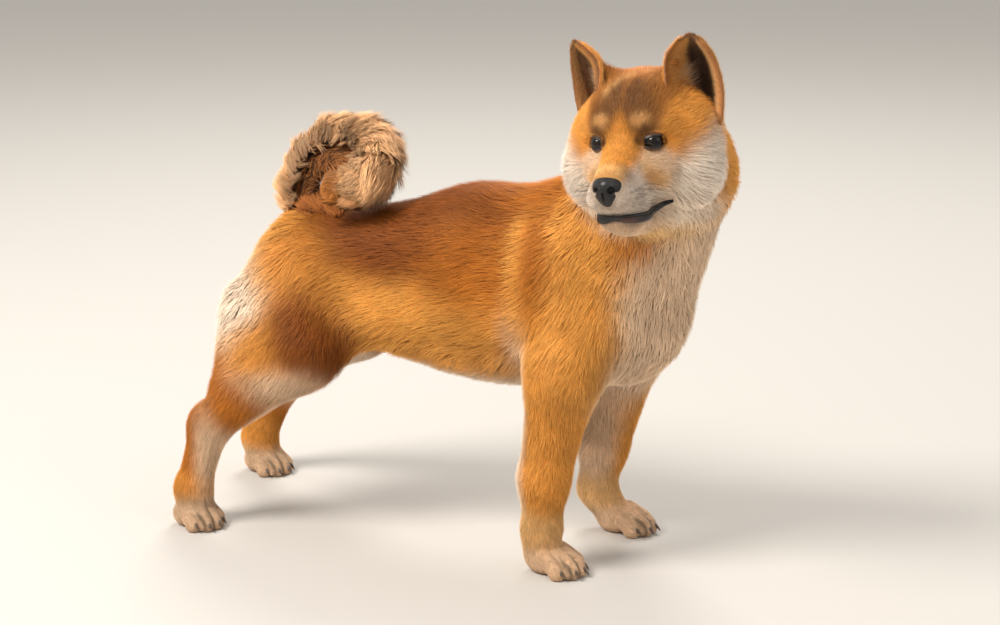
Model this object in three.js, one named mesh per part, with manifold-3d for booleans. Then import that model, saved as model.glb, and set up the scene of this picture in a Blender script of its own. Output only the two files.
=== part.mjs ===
// A life-size standing shiba inu that looks to its right, as a still museum model. Millimetres, +X towards
// the chest, +Y to the dog's left, +Z up. The body is one smooth field of named masses, meshed and parted by
// thin planar cuts; the nose, eyes, lids, ears, claws and the long coat are built on that field.
import * as THREE from "three";
import { mergeVertices } from "three/addons/utils/BufferGeometryUtils.js";
import Module from "manifold-3d";

const wasm = await Module();
wasm.setup();

// Driving dimensions
const GAP = 0.3; // clearance between neighbouring pieces
const LEFT = 1;
const RIGHT = -1;
const rad = THREE.MathUtils.degToRad;

// Colours and finishes
const RED_COAT = new THREE.MeshStandardMaterial({ color: 0xc9803a, roughness: 0.9, metalness: 0 });
const CREAM_COAT = new THREE.MeshStandardMaterial({ color: 0xe6cdb0, roughness: 0.9, metalness: 0 });
const TAIL_COAT = new THREE.MeshStandardMaterial({ color: 0xdeb07a, roughness: 0.9, metalness: 0 });
const NOSE_LEATHER = new THREE.MeshStandardMaterial({ color: 0x1b1614, roughness: 0.45, metalness: 0 });
const EYE_SURFACE = new THREE.MeshStandardMaterial({ color: 0x1d120c, roughness: 0.08, metalness: 0 });

// Smooth union, smooth cut and the two kinds of mass that the body is made of
function smoothMin(a, b, blend) {
  const h = Math.max(blend - Math.abs(a - b), 0) / blend;
  return Math.min(a, b) - (h * h * blend) / 4;
}

function smoothMax(a, b, blend) {
  return -smoothMin(-a, -b, blend);
}

// An ellipsoid. turn is its rotation in degrees about X, Y and Z.
function egg(centre, radii, blend, turn = [0, 0, 0]) {
  const [cx, cy, cz] = centre;
  const [rx, ry, rz] = radii;
  const m = new THREE.Matrix4()
    .makeRotationFromEuler(new THREE.Euler(...turn.map(rad), "ZYX"))
    .transpose().elements;
  const reach = Math.max(...radii);
  const distance = (x, y, z) => {
    const px = x - cx;
    const py = y - cy;
    const pz = z - cz;
    const u = (m[0] * px + m[4] * py + m[8] * pz) / rx;
    const v = (m[1] * px + m[5] * py + m[9] * pz) / ry;
    const w = (m[2] * px + m[6] * py + m[10] * pz) / rz;
    const k0 = Math.hypot(u, v, w);
    const k1 = Math.hypot(u / rx, v / ry, w / rz);
    return k1 > 1e-9 ? (k0 * (k0 - 1)) / k1 : -Math.min(rx, ry, rz);
  };
  return { distance, blend, centre, reach };
}

// A rod with round ends and a radius that changes from r1 to r2. section squeezes it along X, Y or Z.
function limb(from, to, r1, r2, blend, section = [1, 1, 1]) {
  const [sx, sy, sz] = section;
  const [ax, ay, az] = from;
  const bx = (to[0] - ax) / sx;
  const by = (to[1] - ay) / sy;
  const bz = (to[2] - az) / sz;
  const length2 = bx * bx + by * by + bz * bz;
  const scale = Math.min(sx, sy, sz);
  const distance = (x, y, z) => {
    const px = (x - ax) / sx;
    const py = (y - ay) / sy;
    const pz = (z - az) / sz;
    const t = Math.min(1, Math.max(0, (px * bx + py * by + pz * bz) / length2));
    const r = r1 + (r2 - r1) * t;
    return (Math.hypot(px - bx * t, py - by * t, pz - bz * t) - r) * scale;
  };
  const centre = from.map((v, i) => (v + to[i]) / 2);
  const half = Math.hypot(to[0] - ax, to[1] - ay, to[2] - az) / 2;
  return { distance, blend, centre, reach: half + Math.max(r1, r2) * Math.max(sx, sy, sz) };
}

// The distance to a list of masses joined smoothly, far ones skipped
function joined(masses, x, y, z, start = 1e6) {
  let d = start;
  for (const mass of masses) {
    const [cx, cy, cz] = mass.centre;
    const nearest = Math.hypot(x - cx, y - cy, z - cz) - mass.reach;
    if (nearest < d + mass.blend) d = smoothMin(d, mass.distance(x, y, z), mass.blend);
  }
  return d;
}

// Trunk and neck
const TRUNK = [
  egg([124, 0, 262], [122, 74, 98], 10),
  egg([238, 8, 264], [76, 70, 90], 36),
  limb([104, 0, 312], [178, 0, 322], 40, 48, 36),
  limb([80, 0, 292], [-84, 0, 270], 62, 54, 40),
  egg([42, 0, 242], [108, 57, 66], 34),
  egg([-104, 0, 262], [58, 58, 62], 30),
];
const NECK = [
  limb([212, 0, 300], [300, -20, 394], 76, 66, 34),
  egg([272, 0, 334], [56, 65, 64], 34),
];

// A foreleg: shoulder, elbow, wrist and pastern
function foreleg(side, elbow, wrist, pastern, foot) {
  return [
    egg([182, side * 50, 280], [44, 32, 66], 30, [0, 20, 0]),
    limb([228, side * 44, 236], elbow, 42, 36, 30),
    limb(elbow, wrist, 36, 27, 22, [1, 0.84, 1]),
    limb(wrist, pastern, 25, 20, 12, [1, 0.9, 1]),
    limb(pastern, [foot[0] - 12, foot[1], 20], 20, 18, 10),
  ];
}

// A hind leg: hip, stifle, hock and pastern, with the long coat behind the thigh
function hindLeg(side, hip, stifle, hock, pastern, foot) {
  const thighBack = [hip[0] - 52, hip[1] * 1.1, hip[2] - 34];
  const gaskinBack = [hock[0] + 26, hock[1] * 0.95, hock[2] + 48];
  const flankFold = [[8, side * 46, 222], [hip[0] + 50, side * 58, 206]];
  return [
    limb(hip, stifle, 50, 42, 30, [1.05, 0.72, 1]),
    limb(thighBack, gaskinBack, 44, 24, 28, [1, 0.72, 1]),
    limb(stifle, hock, 38, 22, 22, [1, 0.8, 1]),
    limb(...flankFold, 30, 22, 24, [1, 0.5, 1]),
    limb(hock, pastern, 21, 19, 12, [1, 0.86, 1]),
    limb([hock[0] - 4, hock[1], hock[2] + 12], [hock[0] - 7, hock[1], hock[2] - 2], 11, 11, 14),
    limb(pastern, [foot[0], foot[1], 19], 20, 19, 10),
  ];
}

// Places on a foot: forward and across its heading, and up, in millimetres at full size
function onFoot({ foot, heading, size }, forward, across, up) {
  const [c, s] = [Math.cos(rad(heading)), Math.sin(rad(heading))];
  return [
    foot[0] + (forward * c - across * s) * size,
    foot[1] + (forward * s + across * c) * size,
    up * size,
  ];
}

// The four toes of a foot: how far each is across its heading and how far it reaches forward
const TOES = [[-17, 20], [-6.2, 29], [6.2, 29], [17, 20]];
function footMasses(paw) {
  const size = paw.size;
  const masses = [egg(onFoot(paw, -4, 0, 13), [22 * size, 22 * size, 15 * size], 8)];
  for (const [across, reach] of TOES) {
    const knuckle = onFoot(paw, reach - 20, across * 0.8, 20);
    masses.push(limb(knuckle, onFoot(paw, reach - 3, across, 11), 9 * size, 8.6 * size, 2.5));
    masses.push(egg(onFoot(paw, reach, across, 6.5), [7.8 * size, 7.8 * size, 8.5 * size], 2.5));
  }
  return masses;
}

const LEGS = [
  ...foreleg(RIGHT, [212, -68, 196], [194, -72, 92], [192, -72, 42], [203, -72, 0]),
  ...foreleg(LEFT, [226, 62, 200], [194, 73, 88], [186, 76, 42], [214, 77, 0]),
  ...hindLeg(RIGHT, [-96, -42, 252], [-76, -74, 194], [-176, -92, 106], [-194, -98, 38], [-190, -100, 0]),
  ...hindLeg(LEFT, [-102, 42, 252], [-92, 74, 194], [-202, 92, 104], [-234, 97, 38], [-228, 97, 0]),
];
const PAWS = {
  forepaw_right: { foot: [203, -72, 0], heading: -14, size: 1 },
  forepaw_left: { foot: [214, 77, 0], heading: -4, size: 1 },
  hindpaw_right: { foot: [-192, -100, 0], heading: -20, size: 0.95 },
  hindpaw_left: { foot: [-228, 97, 0], heading: -20, size: 0.95 },
};
const FEET = Object.values(PAWS).flatMap(footMasses);

// The head, in its own frame: +X to the nose, +Y to the dog's left, +Z to the crown
const HEAD_PLACE = new THREE.Matrix4()
  .makeRotationFromEuler(new THREE.Euler(rad(6), rad(5), rad(-90), "ZYX"))
  .setPosition(300, -84, 440);
const TO_HEAD = HEAD_PLACE.clone().invert().elements;
const both = (build) => [build(LEFT), build(RIGHT)];
const HEAD = [
  egg([-8, 0, 10], [60, 59, 51], 10),
  egg([22, 0, 12], [30, 42, 30], 18),
  ...both((side) => egg([38, side * 17, 17], [12, 13, 10], 10)),
  ...both((side) => egg([5, side * 47, -30], [40, 33, 41], 22)),
  egg([-38, 0, -28], [44, 60, 54], 26),
  limb([38, 0, -18], [85, 0, -30], 27, 18, 14),
  limb([42, 0, 0], [86, 0, -19], 13, 9, 12),
  ...both((side) => egg([30, side * 25, -28], [27, 17, 24], 16)),
  ...both((side) => egg([73, side * 12, -40], [26, 16, 14], 12)),
  limb([6, 0, -66], [62, 0, -63], 30, 17, 14),
  egg([66, 0, -61], [24, 24, 14], 8),
];
const ORBITS = both((side) => egg([56, side * 32, 2], [13, 16, 10], 10, [0, 0, side * 38]));

// The head's masses with the hollows that the eyes sit in
function headForm(u, v, w) {
  let d = joined(HEAD, u, v, w);
  for (const orbit of ORBITS) d = smoothMax(d, -orbit.distance(u, v, w), orbit.blend);
  return d;
}

function headField(x, y, z) {
  const m = TO_HEAD;
  const u = m[0] * x + m[4] * y + m[8] * z + m[12];
  const v = m[1] * x + m[5] * y + m[9] * z + m[13];
  const w = m[2] * x + m[6] * y + m[10] * z + m[14];
  return headForm(u, v, w);
}

// The whole body without its tail and small parts; negative inside
function flesh(x, y, z) {
  let d = joined(TRUNK, x, y, z);
  d = joined(NECK, x, y, z, d);
  d = joined(LEGS, x, y, z, d);
  if (z < 60) d = smoothMin(d, joined(FEET, x, y, z), 5);
  if (z > 300 && x > 180) d = smoothMin(d, headField(x, y, z), 26);
  return d;
}

// The body with the root of its tail
const TAIL_STUB = limb([-104, 0, 286], [-123, 0, 348], 27, 20, 16);
function body(x, y, z) {
  const d = flesh(x, y, z);
  return x < -60 && z > 240 ? smoothMin(d, TAIL_STUB.distance(x, y, z), TAIL_STUB.blend) : d;
}

// Grid lines from low to high whose spacing is step, or step(position)
function gridLines(low, high, step) {
  const spacing = typeof step === "function" ? step : () => step;
  const lines = [low];
  while (lines.at(-1) < high) lines.push(lines.at(-1) + spacing(lines.at(-1)));
  return lines;
}

// Corner k of a grid cell is at (k & 1, k >> 1 & 1, k >> 2 & 1)
const CELL_EDGES = [[0, 1], [2, 3], [4, 5], [6, 7], [0, 2], [1, 3], [4, 6], [5, 7], [0, 4], [1, 5], [2, 6], [3, 7]];

// Labels the inside corners of a cell by the connected group that each belongs to
function cornerGroups(inside) {
  const group = inside.map((yes, k) => (yes ? k : -1));
  for (let pass = 0; pass < 4; pass++) {
    for (const [a, b] of CELL_EDGES) {
      if (inside[a] && inside[b]) group[a] = group[b] = Math.min(group[a], group[b]);
    }
  }
  return group;
}

// Values of a field on a grid. Blocks that lie wholly on one side are filled from their middle.
function sampleField(field, xs, ys, zs) {
  const [nx, ny, nz] = [xs.length, ys.length, zs.length];
  const values = new Float32Array(nx * ny * nz);
  const block = 4;
  for (let bz = 0; bz < nz; bz += block)
    for (let by = 0; by < ny; by += block)
      for (let bx = 0; bx < nx; bx += block) {
        const [ex, ey, ez] = [Math.min(bx + block, nx), Math.min(by + block, ny), Math.min(bz + block, nz)];
        const low = [xs[bx], ys[by], zs[bz]];
        const high = [xs[ex - 1], ys[ey - 1], zs[ez - 1]];
        const middle = low.map((v, i) => (v + high[i]) / 2);
        const radius = Math.hypot(...low.map((v, i) => (high[i] - v) / 2));
        const value = field(...middle);
        const far = Math.abs(value) > 2 * radius + 12;
        for (let k = bz; k < ez; k++)
          for (let j = by; j < ey; j++)
            for (let i = bx; i < ex; i++)
              values[(k * ny + j) * nx + i] = far ? value : field(xs[i], ys[j], zs[k]);
      }
  return values;
}

// The surface where a field is zero, as a closed mesh: one vertex for each surface sheet in a cell, a quad for
// each grid edge that crosses the surface, then rounds of smoothing that end on the surface itself.
function surfaceMesh(field, xs, ys, zs, rounds = 2) {
  const [nx, ny, nz] = [xs.length, ys.length, zs.length];
  const values = sampleField(field, xs, ys, zs);
  const at = (i, j, k) => (k * ny + j) * nx + i;
  const positions = [];
  const sheetOf = new Map(); // cell -> the vertex of each corner's sheet
  for (let k = 0; k < nz - 1; k++)
    for (let j = 0; j < ny - 1; j++)
      for (let i = 0; i < nx - 1; i++) {
        const corner = [];
        for (let c = 0; c < 8; c++) corner.push(values[at(i + (c & 1), j + ((c >> 1) & 1), k + ((c >> 2) & 1))]);
        const inside = corner.map((v) => v < 0);
        if (inside.every(Boolean) || !inside.some(Boolean)) continue;
        const group = cornerGroups(inside);
        const vertex = new Int32Array(8).fill(-1);
        for (const g of new Set(group)) {
          if (g < 0) continue;
          const sum = [0, 0, 0];
          let crossings = 0;
          for (const [a, b] of CELL_EDGES) {
            if (inside[a] === inside[b]) continue;
            if (group[inside[a] ? a : b] !== g) continue;
            const t = corner[a] / (corner[a] - corner[b]);
            sum[0] += (a & 1) + t * ((b & 1) - (a & 1));
            sum[1] += ((a >> 1) & 1) + t * (((b >> 1) & 1) - ((a >> 1) & 1));
            sum[2] += ((a >> 2) & 1) + t * (((b >> 2) & 1) - ((a >> 2) & 1));
            crossings++;
          }
          if (!crossings) continue;
          for (let c = 0; c < 8; c++) if (group[c] === g) vertex[c] = positions.length / 3;
          positions.push(
            xs[i] + (sum[0] / crossings) * (xs[i + 1] - xs[i]),
            ys[j] + (sum[1] / crossings) * (ys[j + 1] - ys[j]),
            zs[k] + (sum[2] / crossings) * (zs[k + 1] - zs[k]),
          );
        }
        sheetOf.set(at(i, j, k), vertex);
      }
  const quads = [];
  const strides = [[1, 0, 0], [0, 1, 0], [0, 0, 1]];
  for (let k = 0; k < nz - 1; k++)
    for (let j = 0; j < ny - 1; j++)
      for (let i = 0; i < nx - 1; i++)
        for (let axis = 0; axis < 3; axis++) {
          const step = strides[axis];
          if ([i, j, k].some((place, other) => other !== axis && place === 0)) continue;
          const here = values[at(i, j, k)] < 0;
          const next = values[at(i + step[0], j + step[1], k + step[2])] < 0;
          if (here === next) continue;
          const [p, q] = [(axis + 1) % 3, (axis + 2) % 3];
          const around = [[0, 0], [1, 0], [1, 1], [0, 1]].map(([a, b]) => {
            const cell = [i, j, k];
            cell[p] -= a;
            cell[q] -= b;
            const corner = [0, 0, 0];
            corner[p] = a;
            corner[q] = b;
            if (!here) corner[axis] = 1;
            return sheetOf.get(at(...cell))[corner[0] + 2 * corner[1] + 4 * corner[2]];
          });
          quads.push(here ? around : around.reverse());
        }
  settle(field, positions, quads, rounds, (xs[1] - xs[0] + ys[1] - ys[0] + zs[1] - zs[0]) / 3);
  const gap2 = (a, b) =>
    (positions[3 * a] - positions[3 * b]) ** 2 +
    (positions[3 * a + 1] - positions[3 * b + 1]) ** 2 +
    (positions[3 * a + 2] - positions[3 * b + 2]) ** 2;
  const index = quads.flatMap(([a, b, c, d]) => (gap2(a, c) < gap2(b, d) ? [a, b, c, a, c, d] : [a, b, d, b, c, d]));
  const geometry = new THREE.BufferGeometry();
  geometry.setAttribute("position", new THREE.BufferAttribute(new Float32Array(positions), 3));
  geometry.setIndex(index);
  return geometry;
}

// Evens out the vertices of a mesh over the zero surface of its field
function settle(field, positions, quads, rounds, reach) {
  const count = positions.length / 3;
  const e = 0.4;
  const project = (v) => {
    const [x, y, z] = positions.slice(3 * v, 3 * v + 3);
    const value = field(x, y, z);
    const gx = (field(x + e, y, z) - field(x - e, y, z)) / (2 * e);
    const gy = (field(x, y + e, z) - field(x, y - e, z)) / (2 * e);
    const gz = (field(x, y, z + e) - field(x, y, z - e)) / (2 * e);
    const slope2 = Math.max(gx * gx + gy * gy + gz * gz, 0.05);
    const move = Math.max(-reach, Math.min(reach, value / Math.sqrt(slope2))) / Math.sqrt(slope2);
    positions[3 * v] -= gx * move;
    positions[3 * v + 1] -= gy * move;
    positions[3 * v + 2] -= gz * move;
  };
  for (let v = 0; v < count; v++) project(v);
  for (let round = 0; round < rounds; round++) {
    const sum = new Float64Array(positions.length);
    const near = new Uint16Array(count);
    for (const quad of quads)
      for (let n = 0; n < 4; n++) {
        const [a, b] = [quad[n], quad[(n + 1) % 4]];
        for (let s = 0; s < 3; s++) {
          sum[3 * a + s] += positions[3 * b + s];
          sum[3 * b + s] += positions[3 * a + s];
        }
        near[a]++;
        near[b]++;
      }
    for (let v = 0; v < count; v++) {
      for (let s = 0; s < 3; s++) positions[3 * v + s] += 0.5 * (sum[3 * v + s] / near[v] - positions[3 * v + s]);
      project(v);
    }
  }
}

// A list that gives back its cheapest entry first
class Queue {
  entries = [];
  push(entry) {
    const list = this.entries;
    let at = list.push(entry) - 1;
    while (at > 0) {
      const parent = (at - 1) >> 1;
      if (list[parent].cost <= entry.cost) break;
      list[at] = list[parent];
      at = parent;
    }
    list[at] = entry;
  }
  pop() {
    const list = this.entries;
    const first = list[0];
    const last = list.pop();
    if (!list.length) return first;
    let at = 0;
    for (;;) {
      let child = 2 * at + 1;
      if (child >= list.length) break;
      if (child + 1 < list.length && list[child + 1].cost < list[child].cost) child++;
      if (list[child].cost >= last.cost) break;
      list[at] = list[child];
      at = child;
    }
    list[at] = last;
    return first;
  }
}

// Merges the edges of a closed mesh that matter least to its shape, until the wanted number of triangles is
// left. Each vertex keeps the summed squares of its distances to the planes of the triangles that it stands for.
function thinned(geometry, wanted) {
  const at = Array.from(geometry.attributes.position.array);
  const faces = [];
  for (let t = 0; t < geometry.index.count; t += 3) faces.push(Array.from(geometry.index.array.slice(t, t + 3)));
  const count = at.length / 3;
  const around = Array.from({ length: count }, () => new Set());
  const error = Array.from({ length: count }, () => new Float64Array(10));
  const age = new Uint32Array(count);
  const side = (a, b) => [at[3 * b] - at[3 * a], at[3 * b + 1] - at[3 * a + 1], at[3 * b + 2] - at[3 * a + 2]];
  const cross = ([a, b, c], [d, e, f]) => [b * f - c * e, c * d - a * f, a * e - b * d];
  const dot = (p, q) => p[0] * q[0] + p[1] * q[1] + p[2] * q[2];
  faces.forEach(([a, b, c], f) => {
    const n = cross(side(a, b), side(a, c));
    const size = Math.hypot(...n) || 1e-12;
    const [x, y, z] = n.map((v) => v / size);
    const w = -(x * at[3 * a] + y * at[3 * a + 1] + z * at[3 * a + 2]);
    const plane = [x * x, x * y, x * z, x * w, y * y, y * z, y * w, z * z, z * w, w * w];
    for (const v of [a, b, c]) {
      around[v].add(f);
      for (let q = 0; q < 10; q++) error[v][q] += plane[q] * size;
    }
  });
  const squares = (q, [x, y, z]) =>
    q[0] * x * x + 2 * q[1] * x * y + 2 * q[2] * x * z + 2 * q[3] * x + q[4] * y * y + 2 * q[5] * y * z +
    2 * q[6] * y + q[7] * z * z + 2 * q[8] * z + q[9];
  const queue = new Queue();
  const offer = (a, b) => {
    const q = error[a].map((v, i) => v + error[b][i]);
    const length2 = dot(side(a, b), side(a, b));
    let best = null;
    for (const t of [0.5, 0, 1]) {
      const place = [0, 1, 2].map((i) => at[3 * a + i] * (1 - t) + at[3 * b + i] * t);
      const cost = squares(q, place) + 2e-4 * length2 * length2;
      if (!best || cost < best.cost) best = { cost, place, a, b, ages: age[a] + age[b] };
    }
    queue.push(best);
  };
  const neighbours = (v) => {
    const found = new Set();
    for (const f of around[v]) for (const u of faces[f]) if (u !== v) found.add(u);
    return found;
  };
  const holds = (v, other, place) => {
    for (const f of around[v]) {
      if (faces[f].includes(other)) continue;
      const [p, q] = faces[f].filter((u) => u !== v);
      const [before, edge] = [cross(side(v, p), side(v, q)), side(p, q)];
      const toNew = [0, 1, 2].map((i) => place[i] - at[3 * p + i]);
      const after = cross(edge, toNew);
      const old = cross(edge, side(p, v));
      if (dot(after, old) < 0.35 * Math.hypot(...after) * Math.hypot(...old)) return false;
      if (Math.hypot(...after) < 0.05 * dot(edge, edge) || !Math.hypot(...before)) return false;
    }
    return true;
  };
  for (let v = 0; v < count; v++) for (const u of neighbours(v)) if (u > v) offer(v, u);
  let left = faces.length;
  while (left > wanted && queue.entries.length) {
    const { a, b, ages, place } = queue.pop();
    if (!around[a].size || !around[b].size || age[a] + age[b] !== ages) continue;
    const [nearA, nearB] = [neighbours(a), neighbours(b)];
    if (!nearA.has(b) || [...nearA].filter((v) => nearB.has(v)).length !== 2) continue;
    if (!holds(a, b, place) || !holds(b, a, place)) continue;
    for (const f of around[b]) {
      if (faces[f].includes(a)) {
        for (const v of faces[f]) if (v !== b) around[v].delete(f);
        faces[f] = null;
        left--;
      } else {
        faces[f] = faces[f].map((v) => (v === b ? a : v));
        around[a].add(f);
      }
    }
    around[b].clear();
    for (let i = 0; i < 3; i++) at[3 * a + i] = place[i];
    for (let q = 0; q < 10; q++) error[a][q] += error[b][q];
    age[a] += 1 + age[b];
    for (const v of neighbours(a)) offer(a, v);
  }
  const names = new Map();
  const positions = [];
  const index = faces.filter(Boolean).flat().map((v) => {
    if (!names.has(v)) {
      names.set(v, names.size);
      positions.push(at[3 * v], at[3 * v + 1], at[3 * v + 2]);
    }
    return names.get(v);
  });
  const result = new THREE.BufferGeometry();
  result.setAttribute("position", new THREE.BufferAttribute(new Float32Array(positions), 3));
  return result.setIndex(index);
}

// A closed geometry as a solid that can be joined and cut, and a solid as a geometry
function solidOf(merged) {
  return new wasm.Manifold(
    new wasm.Mesh({
      numProp: 3,
      vertProperties: merged.attributes.position.array,
      triVerts: new Uint32Array(merged.index.array),
    }),
  );
}

function toSolid(geometry) {
  const bare = geometry.clone();
  for (const name of Object.keys(bare.attributes)) if (name !== "position") bare.deleteAttribute(name);
  return solidOf(mergeVertices(bare, 1e-4));
}

function toGeometry(solid) {
  const mesh = solid.getMesh();
  const geometry = new THREE.BufferGeometry();
  geometry.setAttribute("position", new THREE.BufferAttribute(new Float32Array(mesh.vertProperties), 3));
  geometry.setIndex(new THREE.BufferAttribute(new Uint32Array(mesh.triVerts), 1));
  const merged = mergeVertices(geometry, 1e-3);
  const corners = Array.from(merged.index.array);
  const whole = (t) => new Set(corners.slice(3 * t, 3 * t + 3)).size === 3;
  return merged.setIndex(corners.filter((_, n) => whole(Math.floor(n / 3))));
}

// A closed skin over rings of points; its two ends are flat, or it closes on itself where it is looped
function loft(rings, looped = false) {
  const sides = rings[0].length;
  const points = rings.flat();
  const index = [];
  const spans = looped ? rings.length : rings.length - 1;
  for (let r = 0; r < spans; r++)
    for (let s = 0; s < sides; s++) {
      const next = (s + 1) % sides;
      const [here, there] = [r * sides, ((r + 1) % rings.length) * sides];
      index.push(here + s, here + next, there + next, here + s, there + next, there + s);
    }
  if (!looped) {
    const end = points.length - sides;
    for (let s = 1; s < sides - 1; s++) index.push(0, s + 1, s, end, end + s, end + s + 1);
  }
  let volume = 0;
  for (let t = 0; t < index.length; t += 3) {
    const [a, b, c] = index.slice(t, t + 3).map((i) => points[i]);
    volume += a.dot(b.clone().cross(c));
  }
  const geometry = new THREE.BufferGeometry().setFromPoints(points);
  geometry.setIndex(volume > 0 ? index : index.reverse());
  return geometry;
}

const vec = (x, y, z) => new THREE.Vector3(x, y, z);

// Everything beyond a plane through a point and square to a direction, moved on by gap
function beyond(point, direction, gap = 0) {
  const far = 1200;
  const turn = new THREE.Quaternion().setFromUnitVectors(vec(0, 0, 1), vec(...direction).normalize());
  const block = new THREE.BoxGeometry(far, far, far).translate(0, 0, far / 2 + gap).applyQuaternion(turn);
  return toSolid(block.translate(...point));
}

function box(low, high) {
  const size = high.map((v, i) => v - low[i]);
  const middle = high.map((v, i) => (v + low[i]) / 2);
  return toSolid(new THREE.BoxGeometry(...size).translate(...middle));
}

const largest = (solid) => solid.decompose().sort((a, b) => b.volume() - a.volume())[0];
const opposite = (direction) => direction.map((v) => -v);

// A field limited to a box, a little inside the grid that it is meshed on
function within(field, low, high) {
  return (x, y, z) =>
    Math.max(field(x, y, z), low[0] - x, x - high[0], low[1] - y, y - high[1], low[2] - z, z - high[2]);
}

// The solid of a field inside a box, meshed at the given steps along X, Y and Z and thinned to the wanted number
// of triangles. Where the grid meets a saddle of the surface badly, it is tried again a little further back.
function cast(field, low, high, steps, wanted) {
  const closed = within(field, low, high);
  for (let nudge = 3; ; nudge += 0.7) {
    const lines = steps.map((step, i) => gridLines(low[i] - nudge, high[i] + 3, step));
    try {
      return solidOf(thinned(surfaceMesh(closed, ...lines), wanted));
    } catch (problem) {
      if (nudge > 9) throw problem;
    }
  }
}

// The same random draws every time, between 0 and 1
let draws = 72;
function draw() {
  draws = (draws * 1664525 + 1013904223) % 4294967296;
  return draws / 4294967296;
}
const vary = (value, share) => value * (1 + share * (2 * draw() - 1));

// A flat, tapered lock of coat along a path: broad to beyond its middle, thin at its tip. Each station has its
// place along the lock and its shares of the full width and thickness.
const LOCK_SHAPE = [[0, 0.8, 1], [0.38, 1, 1], [0.78, 0.84, 0.6], [1, 0.12, 0.1]];
function lock(path, outward, width, thick) {
  const rings = path.map((point, n) => {
    const along = path[Math.min(n + 1, path.length - 1)].clone().sub(path[Math.max(n - 1, 0)]).normalize();
    const aside = along.clone().cross(outward[n]).normalize();
    const up = aside.clone().cross(along).normalize();
    const [, broad, deep] = LOCK_SHAPE[n];
    const edge = (width / 2) * broad;
    return [
      point.clone().addScaledVector(aside, edge).addScaledVector(up, -0.35 * thick * deep),
      point.clone().addScaledVector(up, 0.65 * thick * deep),
      point.clone().addScaledVector(aside, -edge).addScaledVector(up, -0.35 * thick * deep),
    ];
  });
  return toSolid(loft(rings));
}

// The outward direction of a field at a point
function slope(field, { x, y, z }) {
  const e = 0.5;
  return vec(
    field(x + e, y, z) - field(x - e, y, z),
    field(x, y + e, z) - field(x, y - e, z),
    field(x, y, z + e) - field(x, y, z - e),
  ).normalize();
}

// A lock that grows out of a field's surface at a place and follows it along its lie, its tip lifted free
const LOCK_ROOT = 6; // how deep a lock starts below the surface
function lockOn(field, place, lie, { length, width, thick, lift }) {
  const path = [];
  const outward = [];
  const point = place.clone();
  let before = 0;
  for (const [at] of LOCK_SHAPE) {
    const drift = lie.clone().addScaledVector(slope(field, point), -lie.dot(slope(field, point))).normalize();
    point.addScaledVector(drift, (at - before) * length);
    before = at;
    for (let round = 0; round < 2; round++) {
      const height = lift * at - LOCK_ROOT * Math.max(0, 1 - 2.4 * at);
      point.addScaledVector(slope(field, point), height - field(point.x, point.y, point.z));
    }
    path.push(point.clone());
    outward.push(slope(field, point));
  }
  return lock(path, outward, width, thick);
}

// The planes that part the body: a point, and a direction away from the chest
const NECK_ROOT = { point: [232, -6, 326], direction: [0.58, -0.1, 0.81] };
const LOIN_ROOT = { point: [60, 0, 270], direction: [-1, 0, 0] };
const TAIL_ROOT = { point: [-122, 0, 336], direction: [0, 0, 1] };
const HEAD_ROOT = { point: [-36, -14, -66], direction: [0.46, 0.36, 0.81] }; // in the head's own frame
const NECK_TOP = {
  point: vec(...HEAD_ROOT.point).applyMatrix4(HEAD_PLACE).toArray(),
  direction: vec(...HEAD_ROOT.direction).transformDirection(HEAD_PLACE).toArray(),
};
const WRIST = 48; // height of the cut above a paw
const ahead = (cut) => beyond(cut.point, cut.direction, GAP / 2);
const behind = (cut) => beyond(cut.point, opposite(cut.direction), GAP / 2);

// The space that a leg takes out of the trunk: within a box, below a plane that rises outwards
function legSpace(side, [back, front], inner, height, slope, gap) {
  const across = [side * (inner - gap), side * 160].sort((a, b) => a - b);
  const space = box([back - gap, across[0], -40], [front + gap, across[1], 300]);
  return space.intersect(beyond([0, side * inner, height + gap], [0, side * slope, -1]));
}
const forelegSpace = (side, gap = 0) => legSpace(side, [166, 300], 32, 188, 0.32, gap);
const hindLegSpace = (side, gap = 0) => legSpace(side, [-290, -4], GAP / 2, 192, 0.72, gap);

// The locks of the ruff: rows round the throat and down the front of the chest, that hang down and back
const RUFF = { rows: 5, top: [316, -42, 366], bottom: [300, 8, 222], spread: 74, wide: 4 };
function ruffLocks() {
  const locks = [];
  for (let row = 0; row < RUFF.rows; row++) {
    const down = row / (RUFF.rows - 1);
    const middle = vec(...RUFF.top).lerp(vec(...RUFF.bottom), down);
    for (let n = 0; n < RUFF.wide; n++) {
      const share = (n + 0.5 * (row % 2)) / (RUFF.wide - 0.5) - 0.5;
      const turn = rad(RUFF.spread * 2 * share - 28 * (1 - down));
      const away = vec(Math.cos(turn), Math.sin(turn), 0);
      const place = middle.clone().addScaledVector(away, 12).add(vec(-40, 0, 6 * Math.abs(share)));
      const lie = vec(-0.25 * Math.abs(share), 0.5 * share, -1);
      const size = { length: vary(56, 0.15), width: vary(29, 0.15), thick: 7, lift: vary(6, 0.3) };
      locks.push(lockOn(body, place, lie, size));
    }
  }
  return locks;
}

// The locks behind a thigh, that hang down and back
const BREECHES = { rows: 4, top: [-158, 60, 246], bottom: [-166, 84, 168], wide: 2 };
function breechLocks(side) {
  const locks = [];
  for (let row = 0; row < BREECHES.rows; row++) {
    const place = vec(...BREECHES.top).lerp(vec(...BREECHES.bottom), row / (BREECHES.rows - 1));
    for (let n = 0; n < BREECHES.wide; n++) {
      const from = vec(place.x, side * (place.y - 26 * n), place.z);
      const size = { length: vary(42, 0.15), width: vary(19, 0.15), thick: 6, lift: vary(5, 0.3) };
      locks.push(lockOn(body, from, vec(-0.35, 0, -1), size));
    }
  }
  return locks;
}

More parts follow.
